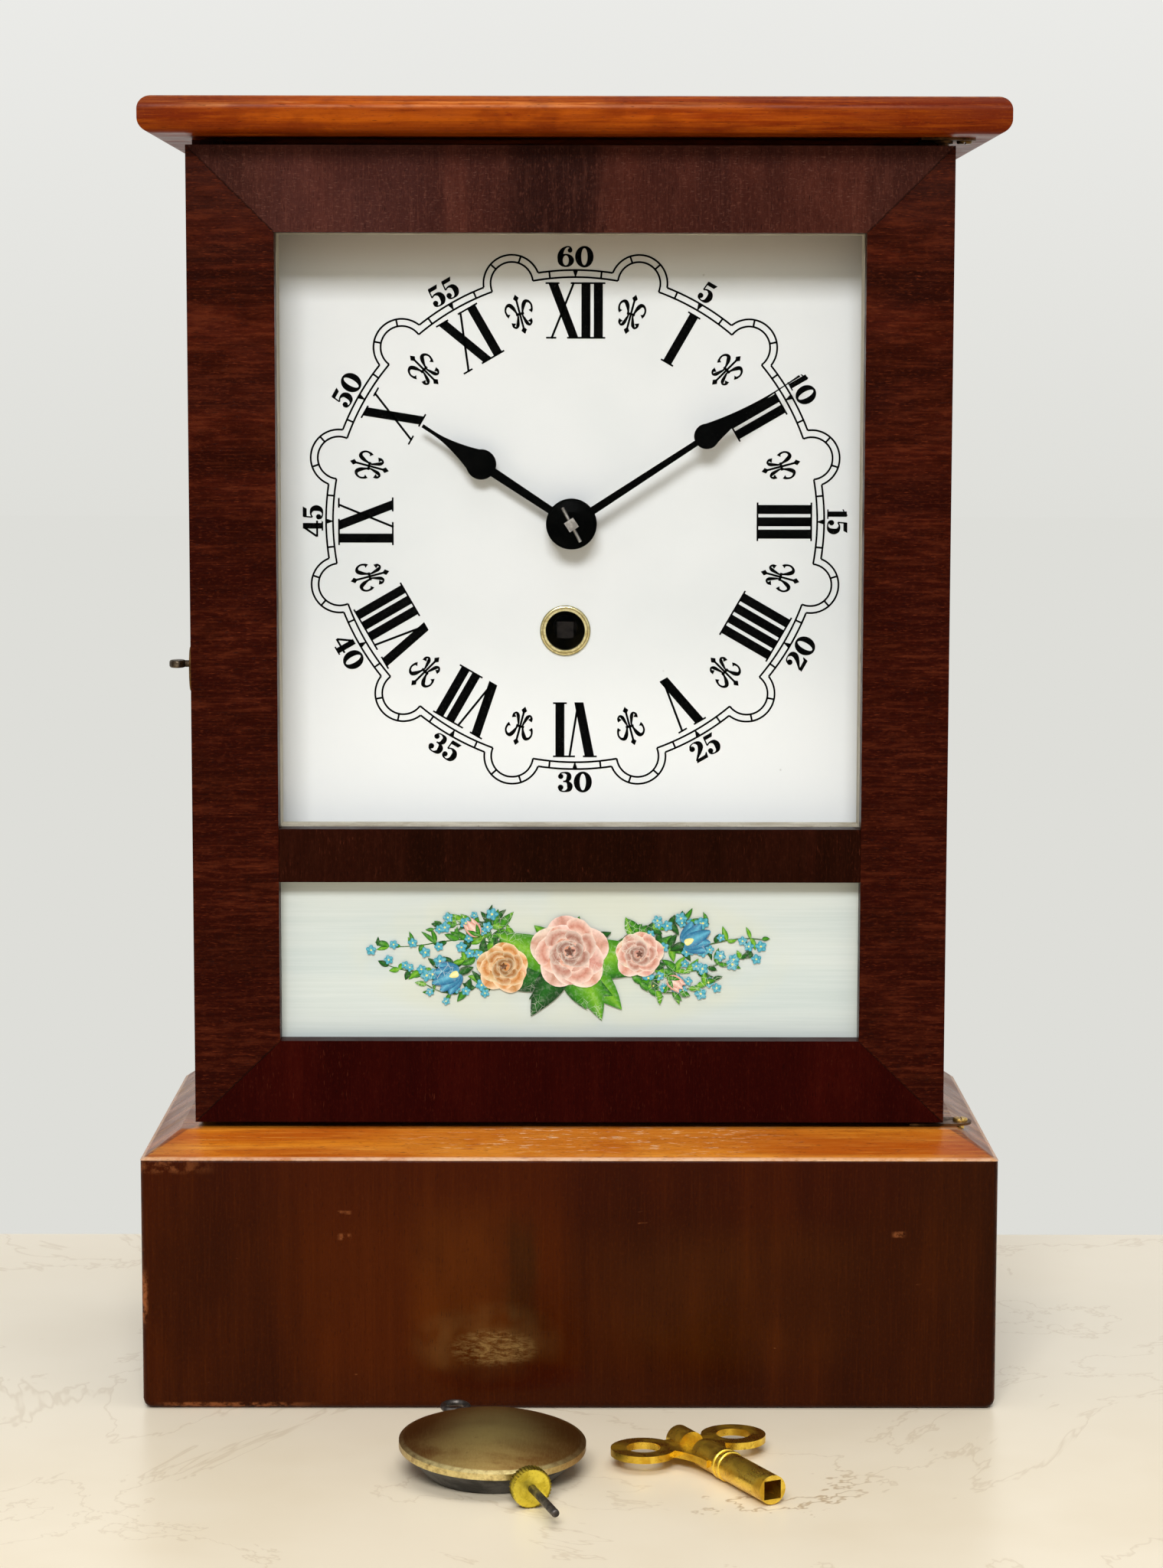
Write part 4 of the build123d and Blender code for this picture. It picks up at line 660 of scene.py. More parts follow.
# Bold figures 5.2 mm tall, with fat sides and hair-thin turns, as calls of the pen.
FIGURES = {
    "0": (("ring", (2.2, 2.6), (2.3, 2.72), (0.78, 2.14)),),
    "1": (("stroke", [(1.75, 0.2), (1.75, 5.05)], 1.35),
          ("stroke", [(0.55, 0.17), (2.95, 0.17)], 0.34),
          ("quad", (0.55, 3.85), (1.25, 4.2), (2.3, 5.2), (1.9, 5.2), (1.2, 4.5), (0.55, 4.22))),
    "2": (("disc", (1.0, 3.85), 0.72),
          ("curve", [(0.62, 3.7, 0.5), (0.9, 4.7, 0.42), (2.0, 5.06, 0.3), (3.05, 4.45, 1.15), (3.15, 3.45, 1.4),
                     (2.3, 2.3, 1.0), (1.2, 1.3, 0.55), (0.55, 0.55, 0.45)]),
          ("quad", (0.35, 0.0), (3.55, 0.0), (3.85, 1.45), (3.6, 1.45), (3.1, 0.95), (0.7, 0.85))),
    "3": (("disc", (0.98, 4.05), 0.68),
          ("disc", (0.95, 1.2), 0.72),
          ("curve", [(0.65, 4.0, 0.45), (0.95, 4.8, 0.36), (1.9, 5.06, 0.38), (2.95, 4.6, 1.05), (3.0, 3.55, 1.25),
                     (2.35, 2.85, 0.6), (1.6, 2.75, 0.38)]),
          ("curve", [(1.6, 2.75, 0.38), (2.6, 2.65, 0.65), (3.25, 1.75, 1.4), (3.1, 0.7, 1.15), (1.95, 0.14, 0.38),
                     (0.9, 0.4, 0.46), (0.5, 1.1, 0.5)])),
    "4": (("stroke", [(2.85, 0.1), (2.85, 5.2)], 1.42),
          ("stroke", [(1.65, 0.19), (3.95, 0.19)], 0.42),
          ("stroke", [(0.1, 1.55), (4.15, 1.55)], 0.52),
          ("stroke", [(0.2, 1.6), (2.6, 5.1)], 0.54)),
    "5": (("quad", (0.95, 5.2), (0.95, 4.2), (3.0, 4.2), (3.55, 5.2), (3.3, 5.2)),
          ("stroke", [(1.05, 5.0), (0.85, 2.75)], 0.36),
          ("curve", [(0.85, 2.75, 0.38), (1.75, 3.15, 0.46), (2.8, 2.75, 1.1), (3.15, 1.7, 1.45), (2.75, 0.6, 1.1),
                     (1.8, 0.14, 0.38), (0.85, 0.4, 0.46), (0.5, 0.95, 0.5)]),
          ("disc", (0.95, 1.15), 0.68)),
    "6": (("ring", (2.2, 1.66), (2.05, 1.68), (0.76, 1.24)),
          ("curve", [(3.55, 4.35, 0.6), (3.2, 5.0, 0.42), (2.35, 5.06, 0.38), (1.35, 4.25, 0.98), (0.85, 3.0, 1.4),
                     (0.78, 1.75, 1.3)]),
          ("disc", (3.25, 4.2), 0.6)),
}


def track_sector():
    """A twelfth of the minute track, from one lobe's middle to the next, with the ornament of the first lobe."""
    pen, dial, axis = Pen(), (0, 0), 15
    lobe_middle = on_circle(dial, LOBE_AT, axis)
    for track, lobe in ((TRACK_OUT, LOBE_OUT), (TRACK_IN, LOBE_IN)):
        meeting = math.degrees(math.acos((track ** 2 + LOBE_AT ** 2 - lobe ** 2) / (2 * track * LOBE_AT)))
        foot = axis - meeting
        pen.stroke(arc(dial, track, -foot, foot, TRACK_STEPS), LINE)
        corner = on_circle(dial, track, foot)
        away = math.degrees(math.atan2(corner[0] - lobe_middle[0], corner[1] - lobe_middle[1]))
        half = (axis - away) % 360
        pen.stroke(arc(lobe_middle, lobe, axis - half, axis + half, LOBE_STEPS), LINE)
    for minute in (-6, 6):
        pen.stroke([on_circle(dial, r, minute) for r in (TRACK_IN, TRACK_OUT)], LINE)
    for side in (-1, 1):
        pen.stroke([on_circle(lobe_middle, r, axis + side * TICK_ROUND) for r in (LOBE_IN, LOBE_OUT)], LINE)
    pen.quad((-0.72, TRACK_OUT), (0.72, TRACK_OUT), (0.10, TRACK_IN), (-0.10, TRACK_IN))
    ornament = Pen()
    ornament.stroke([(0, -4.2), (0, 4.2)], 0.56)
    for end in (-1, 1):
        ornament.quad((0, end * 3.3), (0.78, end * 4.3), (0, end * 5.35), (-0.78, end * 4.3))
    ornament.stroke([(-1.1, 0.1), (1.1, 0.1)], 0.66)
    for side in (-1, 1):
        ornament.curve([(side * u, v, width) for u, v, width in SCROLL])
    pen.placed(ornament, axis, (0, ORNAMENT_AT))
    return pen


def numeral(letters):
    """A Roman numeral, its foot at v 0 and its middle at u 0. Serifs of neighbours run together."""
    tall = NUMERAL_HIGH - NUMERAL_LOW
    low, high = SERIF / 2, tall - SERIF / 2
    pen, u = Pen(), 0.0

    def serif(left, right, v):
        pen.stroke([(u + left, v), (u + right, v)], SERIF)

    for letter in letters:
        if letter == "I":
            pen.stroke([(u + BAR / 2, 0), (u + BAR / 2, tall)], BAR)
            for v in (low, high):
                serif(-SERIF_OUT, BAR + SERIF_OUT, v)
            u += BAR + AFTER_I
            continue
        wide = X_WIDE if letter == "X" else V_WIDE
        foot = wide - BAR if letter == "X" else (wide - BAR) / 2 + 0.5
        thin = (0.9, 0, wide - 1.2) if letter == "X" else (foot + 1.4, 0.2, wide - 0.6)
        pen.quad((u + foot, 0), (u + foot + BAR * 1.02, 0), (u + BAR * 1.05, tall), (u, tall))
        pen.stroke([(u + thin[0], thin[1]), (u + thin[2], tall)], THIN)
        if letter == "X":
            serif(-0.5, 2.2, low)
            serif(foot - SERIF_OUT, wide + SERIF_OUT, low)
        serif(-SERIF_OUT, BAR + SERIF_OUT, high)
        serif(wide - 2.1, wide + 0.5, high)
        u += wide + AFTER_WIDE
    wide = max(p[0] for p in pen.points) + min(p[0] for p in pen.points)
    made = Pen()
    made.placed(pen, 0, (-wide / 2, 0))
    return made


def figures(number):
    """One or two figures side by side, with their middle at (0, 0)."""
    whole, made, u = Pen(), Pen(), 0.0
    for digit in number:
        pen = Pen()
        for kind, *shape in FIGURES[digit]:
            getattr(pen, kind)(*shape)
        left, right = min(p[0] for p in pen.points), max(p[0] for p in pen.points)
        whole.placed(pen, 0, (u - left, 0))
        u += right - left + FIGURE_SPACE
    made.placed(whole, 0, (-(u - FIGURE_SPACE) / 2, -FIGURE_TALL / 2))
    made.points = [(u * 1.06, v * 1.04) for u, v in made.points]
    return made


def dial_print(ink):
    """The minute track, numerals and figures, as thin ink just in front of the painted plate."""
    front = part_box("dial_plate")[0].y - PRINT_GAP * MM
    track, numerals, minutes = Pen(), Pen(), Pen()
    sector = track_sector()
    for k, letters in enumerate(HOURS):
        track.placed(sector, k * 30)
        numerals.placed(numeral(letters), k * 30, (0, NUMERAL_LOW))
        number = Pen()
        number.placed(figures(str(k * 5 or 60)), 180 if 4 <= k <= 8 else 0)
        minutes.placed(number, k * 30, (0, FIGURE_AT))
    for name, pen in (("dial_minute_track", track), ("dial_roman_numerals", numerals),
                      ("dial_minute_figures", minutes)):
        piece(name, pen.mesh(name, (PRINT_X, PRINT_Z), front), ink, "case")


# --- Flower spray on the tablet, in millimetres from its middle ---

TABLET_MIDDLE_Z = 117.6
SPRAY_GAP, LAYER_STEP, FLOWER_STEP, FLOWER_GAP = 0.03, 0.003, 0.012, 0.5
SPRAY_SEED, FLOWER_SEED = 11, 5
PINKS = ((206, 132, 112), (250, 230, 216))
CREAMS = ((196, 112, 36), (250, 230, 196))
BLUES = ((34, 132, 160), (112, 194, 208))
BELLS = ((16, 84, 132), (110, 196, 220))
GREENS = (((8, 78, 8), (84, 164, 24)), ((4, 48, 14), (28, 108, 22)), ((40, 120, 8), (136, 192, 44)))
STEM_GREEN = (52, 96, 34)
LARGE_LEAVES = ((-118, 19), (-96, 15), (-66, 16), (66, 17), (92, 16), (122, 18), (150, 14), (-150, 14), (178, 13),
                (-35, 13), (35, 13), (4, 12), (-80, 20), (80, 21), (-134, 17), (136, 17))
STAMEN_YELLOWS = ((246, 226, 120), (250, 240, 190))
EYE_YELLOW = (244, 226, 120)


class Brush:
    """Small painted shapes, each a layer nearer to the front."""

    def __init__(self):
        self.points, self.faces, self.colours = [], [], []
        self.layer = 0

    def leaf(self, root, turn, long, wide, edge, heart, bend=0.0, tip=1.0, steps=9):
        """A pointed petal or leaf. turn is clockwise from straight up; colours are sRGB, edge and middle."""
        self.layer += 1
        start = len(self.points)
        for k in range(steps + 1):
            t = 0.5 - 0.5 * math.cos(math.pi * k / steps)
            half = wide / 2 * abs(math.sin(math.pi * t ** (0.75 if tip >= 1 else 0.6))) ** (0.9 * tip)
            angle = math.radians(turn + bend * t)
            along = (root[0] + long * t * math.sin(angle), root[1] + long * t * math.cos(angle))
            for s in (-1, -0.5, 0, 0.5, 1):
                self.points.append((along[0] + math.cos(angle) * half * s, along[1] - math.sin(angle) * half * s,
                                    self.layer))
                mix = abs(s) * 0.75 + 0.25 * k / steps
                self.colours.append([h + (e - h) * mix for e, h in zip(edge, heart)])
        for k in range(steps):
            for j in range(4):
                a = start + k * 5 + j
                self.faces.append((a, a + 1, a + 6, a + 5))

    def stem(self, path, width, colour):
        self.layer += 1
        start = len(self.points)
        for left, right in sides(path, [width * (1 - 0.6 * k / len(path)) for k in range(len(path))]):
            self.points += [(*right, self.layer), (*left, self.layer)]
            self.colours += [colour, colour]
        for k in range(len(path) - 1):
            a = start + 2 * k
            self.faces.append((a, a + 2, a + 3, a + 1))

    def mesh(self, name, centre, front, step=LAYER_STEP):
        made = bpy.data.meshes.new(name)
        made.from_pydata([((centre[0] + u) * MM, front - (SPRAY_GAP + step * layer) * MM, (centre[1] + v) * MM)
                          for u, v, layer in self.points], [], self.faces)
        paint = made.color_attributes.new("paint", "FLOAT_COLOR", "POINT")
        for k, c in enumerate(self.colours):
            paint.data[k].color = linear(*c)
        return facing_front(made)


def rose(brush, at, size, colours, chance, lean=0.0):
    """A full rose: broad outer petals, then a cup of bent petals that close round a dark heart."""
    deep, pale = colours
    for ring, (reach, wide) in enumerate(((1.0, 1.15), (0.84, 1.0))):
        for k in range(5):
            turn = 72 * k + ring * 36 + chance.uniform(-14, 14)
            rim = [min(c * chance.uniform(0.95, 1.02), 255) for c in pale]
            heart = [c * chance.uniform(0.9, 1.02) for c in deep]
            brush.leaf(at, turn, size * reach * 0.5 * chance.uniform(0.86, 1.08), size * wide * 0.5, rim, heart,
                       tip=0.45, steps=12)
    for ring, reach in enumerate((0.30, 0.235, 0.17, 0.10)):
        for k in range(3):
            turn = 120 * k + ring * 52 + chance.uniform(-16, 16)
            root = on_circle((at[0] + lean * size * 0.03 * ring, at[1]), size * reach, turn)
            brush.leaf(root, turn + 48, size * (reach * 1.5 + 0.06), size * (0.22 - 0.03 * ring),
                       [c * (1.0 - 0.05 * ring) for c in pale], [c * (0.97 - 0.10 * ring) for c in deep], bend=128,
                       tip=0.6, steps=12)
    for k in range(5):
        brush.leaf(at, 72 * k, size * 0.07, size * 0.05, [c * 0.62 for c in deep], [c * 0.45 for c in deep], tip=0.6)


def star_flower():
    """A small blue flower with five round petals, 1 mm across from its middle."""
    brush = Brush()
    for k in range(5):
        brush.leaf((0, 0), 72 * k, 1.0, 0.92, *BLUES, tip=0.5, steps=5)
    brush.leaf((0, -0.18), 0, 0.36, 0.34, EYE_YELLOW, EYE_YELLOW, tip=0.5, steps=4)
    return brush.mesh("star_flower", (0, 0), 0.0, FLOWER_STEP)


def flower_spray(paint):
    """A spray of the maker's own: one open rose between two smaller ones, leaves, and blue flowers to both ends."""
    lo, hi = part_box("tablet_glass")
    centre, front = ((lo.x + hi.x) / 2 / MM, TABLET_MIDDLE_Z), lo.y
    chance = random.Random(SPRAY_SEED)
    brush, flowers = Brush(), []
    for side in (-1, 1):
        for lift, reach, curl in ((4.5, 51, 1.4), (-2.0, 48, 1.8), (10.0, 36, 1.0), (-8.5, 38, 1.2)):
            path = [(side * (8 + (reach - 8) * t), lift * math.sin(t * 2.2) + curl * math.sin(t * 7 + side)) for t in
                    [k / 14 for k in range(15)]]
            brush.stem(path, 0.5, STEM_GREEN)
            for k in range(3, 15):
                u, v = path[k]
                small = 1.0 - 0.03 * k
                for _ in range(3 if k < 8 else 1 + k % 2):
                    brush.leaf((u, v), side * 60 + chance.uniform(-85, 85), chance.uniform(3.6, 6.6) * small,
                               chance.uniform(1.7, 2.9) * small, *chance.choice(GREENS), bend=chance.uniform(-30, 30))
                if k > 5 and chance.random() < 0.85:
                    flowers.append((u + chance.uniform(-1.8, 1.8), v + chance.uniform(-2.6, 2.6),
                                    chance.uniform(1.05, 1.8)))
    for turn, long in LARGE_LEAVES:
        brush.leaf((0, -1.0), turn, long * 1.05, long * 0.46, *chance.choice(GREENS), bend=chance.uniform(-22, 22),
                   steps=14)
    for at, turn in (((-29.5, -4.0), -112), ((30.5, 4.0), 64)):
        brush.leaf(at, turn + 180, 4.4, 2.2, *GREENS[1])
        for k in (-46, 46, -24, 24, 0):
            brush.leaf(at, turn + k, 7.6 - abs(k) * 0.03, 3.8, *BELLS, tip=0.6, steps=10)
        brush.leaf(at, turn, 2.6, 1.8, *STAMEN_YELLOWS, tip=0.6)
    rose(brush, (-17.5, -2.2), 14.5, CREAMS, chance, 0.4)
    rose(brush, (18.5, 1.2), 13.5, PINKS, chance, -0.4)
    rose(brush, (0.0, 1.8), 21.0, PINKS, chance)
    for at, turn in (((-24.0, 6.0), -38), ((26.0, -5.0), 128)):
        for k in (-16, 16, 0):
            brush.leaf(at, turn + k, 5.2, 2.7, *PINKS)
        for k in (-26, 26):
            brush.leaf(at, turn + k, 3.4, 1.2, *GREENS[0])
    host = bpy.data.meshes.new("flower_places")
    host.from_pydata([((centre[0] + u) * MM, front - FLOWER_GAP * MM, (centre[1] + v) * MM) for u, v, _ in flowers],
                     [], [])
    host.attributes.new("size", "FLOAT", "POINT").data.foreach_set("value", [s for _, _, s in flowers])
    roses = brush.mesh("tablet_roses_and_leaves", centre, front)
    for mesh in (roses, scattered("tablet_blue_flowers", star_flower(), host, paint, FLOWER_SEED)):
        piece(mesh.name, mesh, paint, "door")


# --- The clock's finishes, piece by piece ---

TONE_DRIFT = 6 * MM
GLASS_EDGE, MITRE_TOP, MITRE_LOW = 76.45, 307.7, 96.3
SIDEWAYS = 0.15
HOUR_HAND_GROWTH = ((20.5, 0.0), (23.5, 0.45), (27.0, 0.60), (31.0, 0.75), (36.0, 0.62), (41.0, 0.36), (46.0, 0.26))


def spot(f, x, z, wide, tall):
    """1 inside a soft oval on the front, 0 outside, all in millimetres."""
    return (1 - ((f.x - x * MM) / (wide * MM)) ** 2 - ((f.z - z * MM) / (tall * MM)) ** 2).rise(0.0, 0.85)


def dress_case():
    front_lo, front_hi = in_mm(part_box("base_front"))
    foot_z = in_mm(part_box("base_ends"))[0].z

    def nicks(f):
        """A few small pale dents."""
        return f.noise(3.4, 1.0, 0.4, scale=(0.6, 0.6, 1.4), shift=(0.31, 0.17, 0.05)).rise(0.765, 0.79) * 0.5

    def base_wear(f):
        face = f.y.span(front_lo.y + 2.6, front_lo.y + 1.2)
        bottom = f.z.near(1.1, 1.1) * f.x.span(-62, -84) * f.x.span(-110, -102) * 0.8
        under = f.z.span(62.8, 64.5) * f.x.span(-90, -104) * 0.4
        side = f.x.near(front_lo.x, 2.2) * f.z.near(30, 9)
        rub = f.z.near(front_lo.z, 0.6) * 0.3
        corners = abs(f.x).near(front_hi.x, 0.8) * 0.25
        dents = f.x.near(-59, 2.2) * (f.z.near(46.5, 1.2) + f.z.near(53, 0.7))
        dents = dents + f.x.near(86.5, 2.2) * f.z.near(47.2, 1.1)
        return ((bottom + under + side + corners + dents * 0.6) * face + rub + nicks(f)).held()

    def base_tone(f, colour):
        """Polish that has gone darker, redder or olive in patches, with a painted reflection low on the left: a pale
        rippled glow over a dark red patch.
        """
        drift = f.noise(9.0, 3.0, 0.5) * TONE_DRIFT
        x, z = f.x + drift - TONE_DRIFT / 2, f.z + drift - TONE_DRIFT / 2
        ripples = f.noise(0.7, 4.0, 0.7, 0.4, (0.3, 1, 1)).rise(0.38, 0.70)
        # The pale glow and its rippled core are a painted reflection.
        painted_reflection = spot(f, -21.5, 18.0, 22.0, 12.5) * f.noise(9.0, 2.0, 0.55).rise(0.22, 0.62)
        reflection_core = spot(f, -20.0, 16.5, 13.0, 6.0)
        return f.coats(
            colour,
            (x.near(-28, 18) * z.near(34, 30) * 0.3, (104, 52, 10)),
            (x.near(-12.5, 6.5) * z.near(36, 22) * 0.5, (38, 24, 5)),
            (z.span(40, 64) * 0.45, (52, 12, 2)),
            (x.span(70, 112) * 0.65, (36, 14, 3)),
            (z.span(16, 2) * 0.4, (46, 16, 3)),
            (x.near(45, 50) * z.near(30, 24) * 0.35, (72, 34, 6)),
            # Painted reflection: the pale rippled glow low on the left.
            ((painted_reflection * 0.10 + reflection_core * ripples * 0.52).held(), (172, 138, 80)),
            # Painted reflection: the dark red patch below the glow.
            (spot(f, -15.0, 9.0, 24.0, 5.0) * 0.5, (50, 4, 2)))

    def end_wear(f):
        foot = f.z.near(foot_z, 0.7) * 0.35
        rub = f.y.near(-30, 12) * f.z.near(26, 6) * f.noise(4.0, 2.0, 0.55).rise(0.5, 0.7) * 0.35
        return (foot + rub + nicks(f)).held()

    def top_wear(f):
        return f.z.near(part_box("top_board")[1].z / MM, 0.6) * 0.25

    def top_tone(f, colour):
        """Golden streaks and dark flecks along the board, a painted highlight along the upper part of its front, and
        painted shade towards its foot; it also darkens to the right and to both ends.
        """
        gold = f.noise(2.4, scale=(0.04, 1, 1)).rise(0.42, 0.62)
        # Painted highlight: a broken pale streak along the upper part of the front.
        painted_highlight = f.z.near(339.2, 1.1) * f.x.span(60, -10) * f.noise(1.0, scale=(0.05, 1, 1)).rise(0.36, 0.6)
        flecks = f.noise(1.6, scale=(0.35, 1, 1)).rise(0.66, 0.74)
        return f.coats(
            colour,
            (gold * 0.3, (196, 96, 12)),
            (painted_highlight * 0.55, (226, 146, 80)),
            (f.x.near(-30, 70) * 0.35, (176, 84, 6)),
            (f.x.span(10, 90) * 0.70, (92, 24, 1)),
            (f.x.span(-70, -95) * 0.35, (98, 30, 2)),
            (flecks * 0.6, (108, 22, 2)),
            (abs(f.x).span(90, 110) * 0.75, (92, 28, 6)),
            # Painted shade: darker towards the foot of the front.
            (f.z.span(335.8, 332.5) * 0.5, (108, 36, 2)))

    def edge_wear(f):
        # The pale line along the chamfer's foot: partly wear, partly a painted highlight.
        return f.z.near(front_hi.z + 0.2, 0.5) * 0.25

    def edge_tone(f, colour):
        """The chamfer's streaks and specks, darker where it turns down the ends, with painted glints near the door's
        foot and a pale line at its own foot, partly wear and partly a painted highlight.
        """
        streaks = f.noise(0.9, scale=(0.05, 1, 1)).rise(0.52, 0.66)
        specks = f.noise(0.7, scale=(0.25, 1, 1)).rise(0.62, 0.72)
        slope = (f.y - front_lo.y * MM + abs(f.x) - front_hi.x * MM).span(-0.3, 0.3) * abs(f.x).span(98.5, 100)
        # Painted glints: pale specks near the middle of the chamfer.
        painted_glints = f.noise(0.6, 3.0, 0.7, scale=(0.12, 1, 1)).rise(0.56, 0.68) * f.x.near(8, 60)
        return f.coats(
            colour,
            (streaks * 0.45, (140, 62, 12)),
            (specks * 0.6, (96, 34, 8)),
            (f.x.span(50, 110) * 0.4, (158, 66, 18)),
            (abs(f.x).span(94, 111) * 0.6, (112, 38, 10)),
            (slope * 0.8, (82, 38, 22)),
            (f.x.near(0, 70) * 0.35, (228, 150, 52)),
            (painted_glints * f.z.span(66.5, 71) * 0.7, (240, 206, 168)),
            # The pale line at the foot, brighter towards the middle: partly wear, partly a painted highlight.
            (f.z.near(front_hi.z + 0.3, 0.55) * (0.45 + 0.35 * f.x.near(0, 100)), (238, 196, 160)))

    base = veneer("base_dark_veneer", "Z", (42, 11, 1), (66, 23, 1), (96, 42, 6), (0.11, 0.2, 0.0), band=46,
                  figure=0.10, fine=0.20, mottle=0.14, wear=base_wear, worn=(146, 84, 46), tone=base_tone, gloss=0.2,
                  dimple=1.2, peel=0.16, shine=0.04)
    ends = veneer("base_end_veneer", "Z", (42, 11, 1), (62, 22, 3), (92, 42, 10), (0.7, 0.4, 0.2), band=34,
                  figure=0.16, fine=0.24, mottle=0.14, wear=end_wear, worn=(140, 92, 62), gloss=0.24, dimple=1.2,
                  peel=0.14, shine=0.04)
    edge = veneer("base_top_orange", "X", (176, 84, 14), (216, 130, 30), (238, 168, 72), (0.4, 0, 0.1), band=14,
                  figure=0.3, wear=edge_wear, worn=(244, 214, 190), tone=edge_tone, gloss=0.26, peel=0.10, shine=0.16)
    softened("base_front", 0.7, base, 3, rounded=3.0)
    softened("base_ends", 0.7, ends, 3, rounded=3.0)
    softened("base_top", 0.45, edge)
    give(veneer("top_orange_gloss", "X", (98, 28, 1), (130, 46, 1), (176, 86, 10), (0.0, 0.3, 0.2), band=10,
                figure=0.5, line=1.6, run=0.05, mottle=0.12, wear=top_wear, worn=(196, 124, 60), tone=top_tone,
                gloss=0.28, peel=0.025, shine=0.05), "top_board")
    give(veneer("case_side_veneer", "Z", (40, 10, 3), (62, 20, 7), (92, 40, 16), (0.5, 0.1, 0.3), band=26, gloss=0.28),
         "case_side_left", "case_side_right")


def dress_door():
    def mitres(f, colour):
        """The dark joint lines across the corners of the frame."""
        out = abs(f.x) - GLASS_EDGE * MM
        top = abs(out * 0.982 - (f.z - MITRE_TOP * MM))
        low = abs(out * 0.965 + (f.z - MITRE_LOW * MM))
        return f.blend(top.least(low).span(0.42, 0.18) * abs(f.x).span(76.4, 76.6) * 0.85, colour, (14, 4, 2))

    def stile_tone(f, colour):
        return mitres(f, f.coats(
            colour, (f.z.span(290, 200) * 0.8, (38, 3, 0)),
            (f.z.span(298, 322) * 0.5, (52, 24, 18))))

    def top_rail_tone(f, colour):
        dashes = f.noise(0.4, scale=(0.25, 1, 1)).rise(0.56, 0.70)
        return mitres(f, f.coats(
            colour,
            (f.x.span(-10, -60) * 0.35, (80, 46, 42)),
            (abs(f.x).span(70, 88) * 0.75, (46, 22, 17)),
            (dashes * 0.35, (124, 84, 72)),
            (f.x.near(-4, 19) * 0.9, (28, 8, 5))))

    def low_rail_tone(f, colour):
        flecks = f.noise(0.4, 2.0, 0.5, scale=(1, 1, 0.14)).rise(0.62, 0.72)
        return mitres(f, f.blend(flecks * f.noise(14.0, 1.0, 0.55).rise(0.45, 0.62) * 0.45, colour, (98, 46, 30)))

    stile = {"grain": "X", "tone": stile_tone, "band": 12, "figure": 0.50, "line": 1.3, "run": 0.14, "fine": 0.34,
             "mottle": 0.26, "hairs": 0.7, "dimple": 1.0, "peel": 0.12, "shine": 0.03}
    top_rail = {"grain": "Z", "tone": top_rail_tone, "band": 24, "figure": 0.16, "line": 2.0, "run": 0.2, "fine": 0.2,
                "mottle": 0.28, "hairs": 0.2, "dimple": 0.9, "peel": 0.22, "shine": 0.03}
    low_rail = top_rail | {"tone": low_rail_tone, "peel": 0.07, "shine": 0.02}
    for node_name, shift, dark, mid, light, kind in (
            ("door_stile_left", (0.2, 0.0, 0.5), (32, 4, 0), (59, 15, 4), (92, 38, 18), stile),
            ("door_stile_right", (0.9, 0.0, 0.13), (32, 4, 0), (59, 15, 4), (92, 38, 18), stile),
            ("door_rail_top", (0.6, 0.0, 0.2), (48, 20, 15), (70, 32, 23), (104, 60, 48), top_rail),
            ("door_rail_middle", (0.1, 0.0, 0.9), (22, 4, 0), (36, 9, 3), (60, 26, 14), low_rail),
            ("door_rail_bottom", (0.35, 0.0, 0.7), (34, 1, 0), (46, 4, 1), (66, 18, 8), low_rail)):
        wood = veneer(node_name + "_veneer", dark=dark, mid=mid, light=light, shift=shift, gloss=0.28, **kind)
        softened(node_name, 0.25, wood)
    give(clear_glass(), "dial_glass")
    give(tablet_ground(), "tablet_glass")


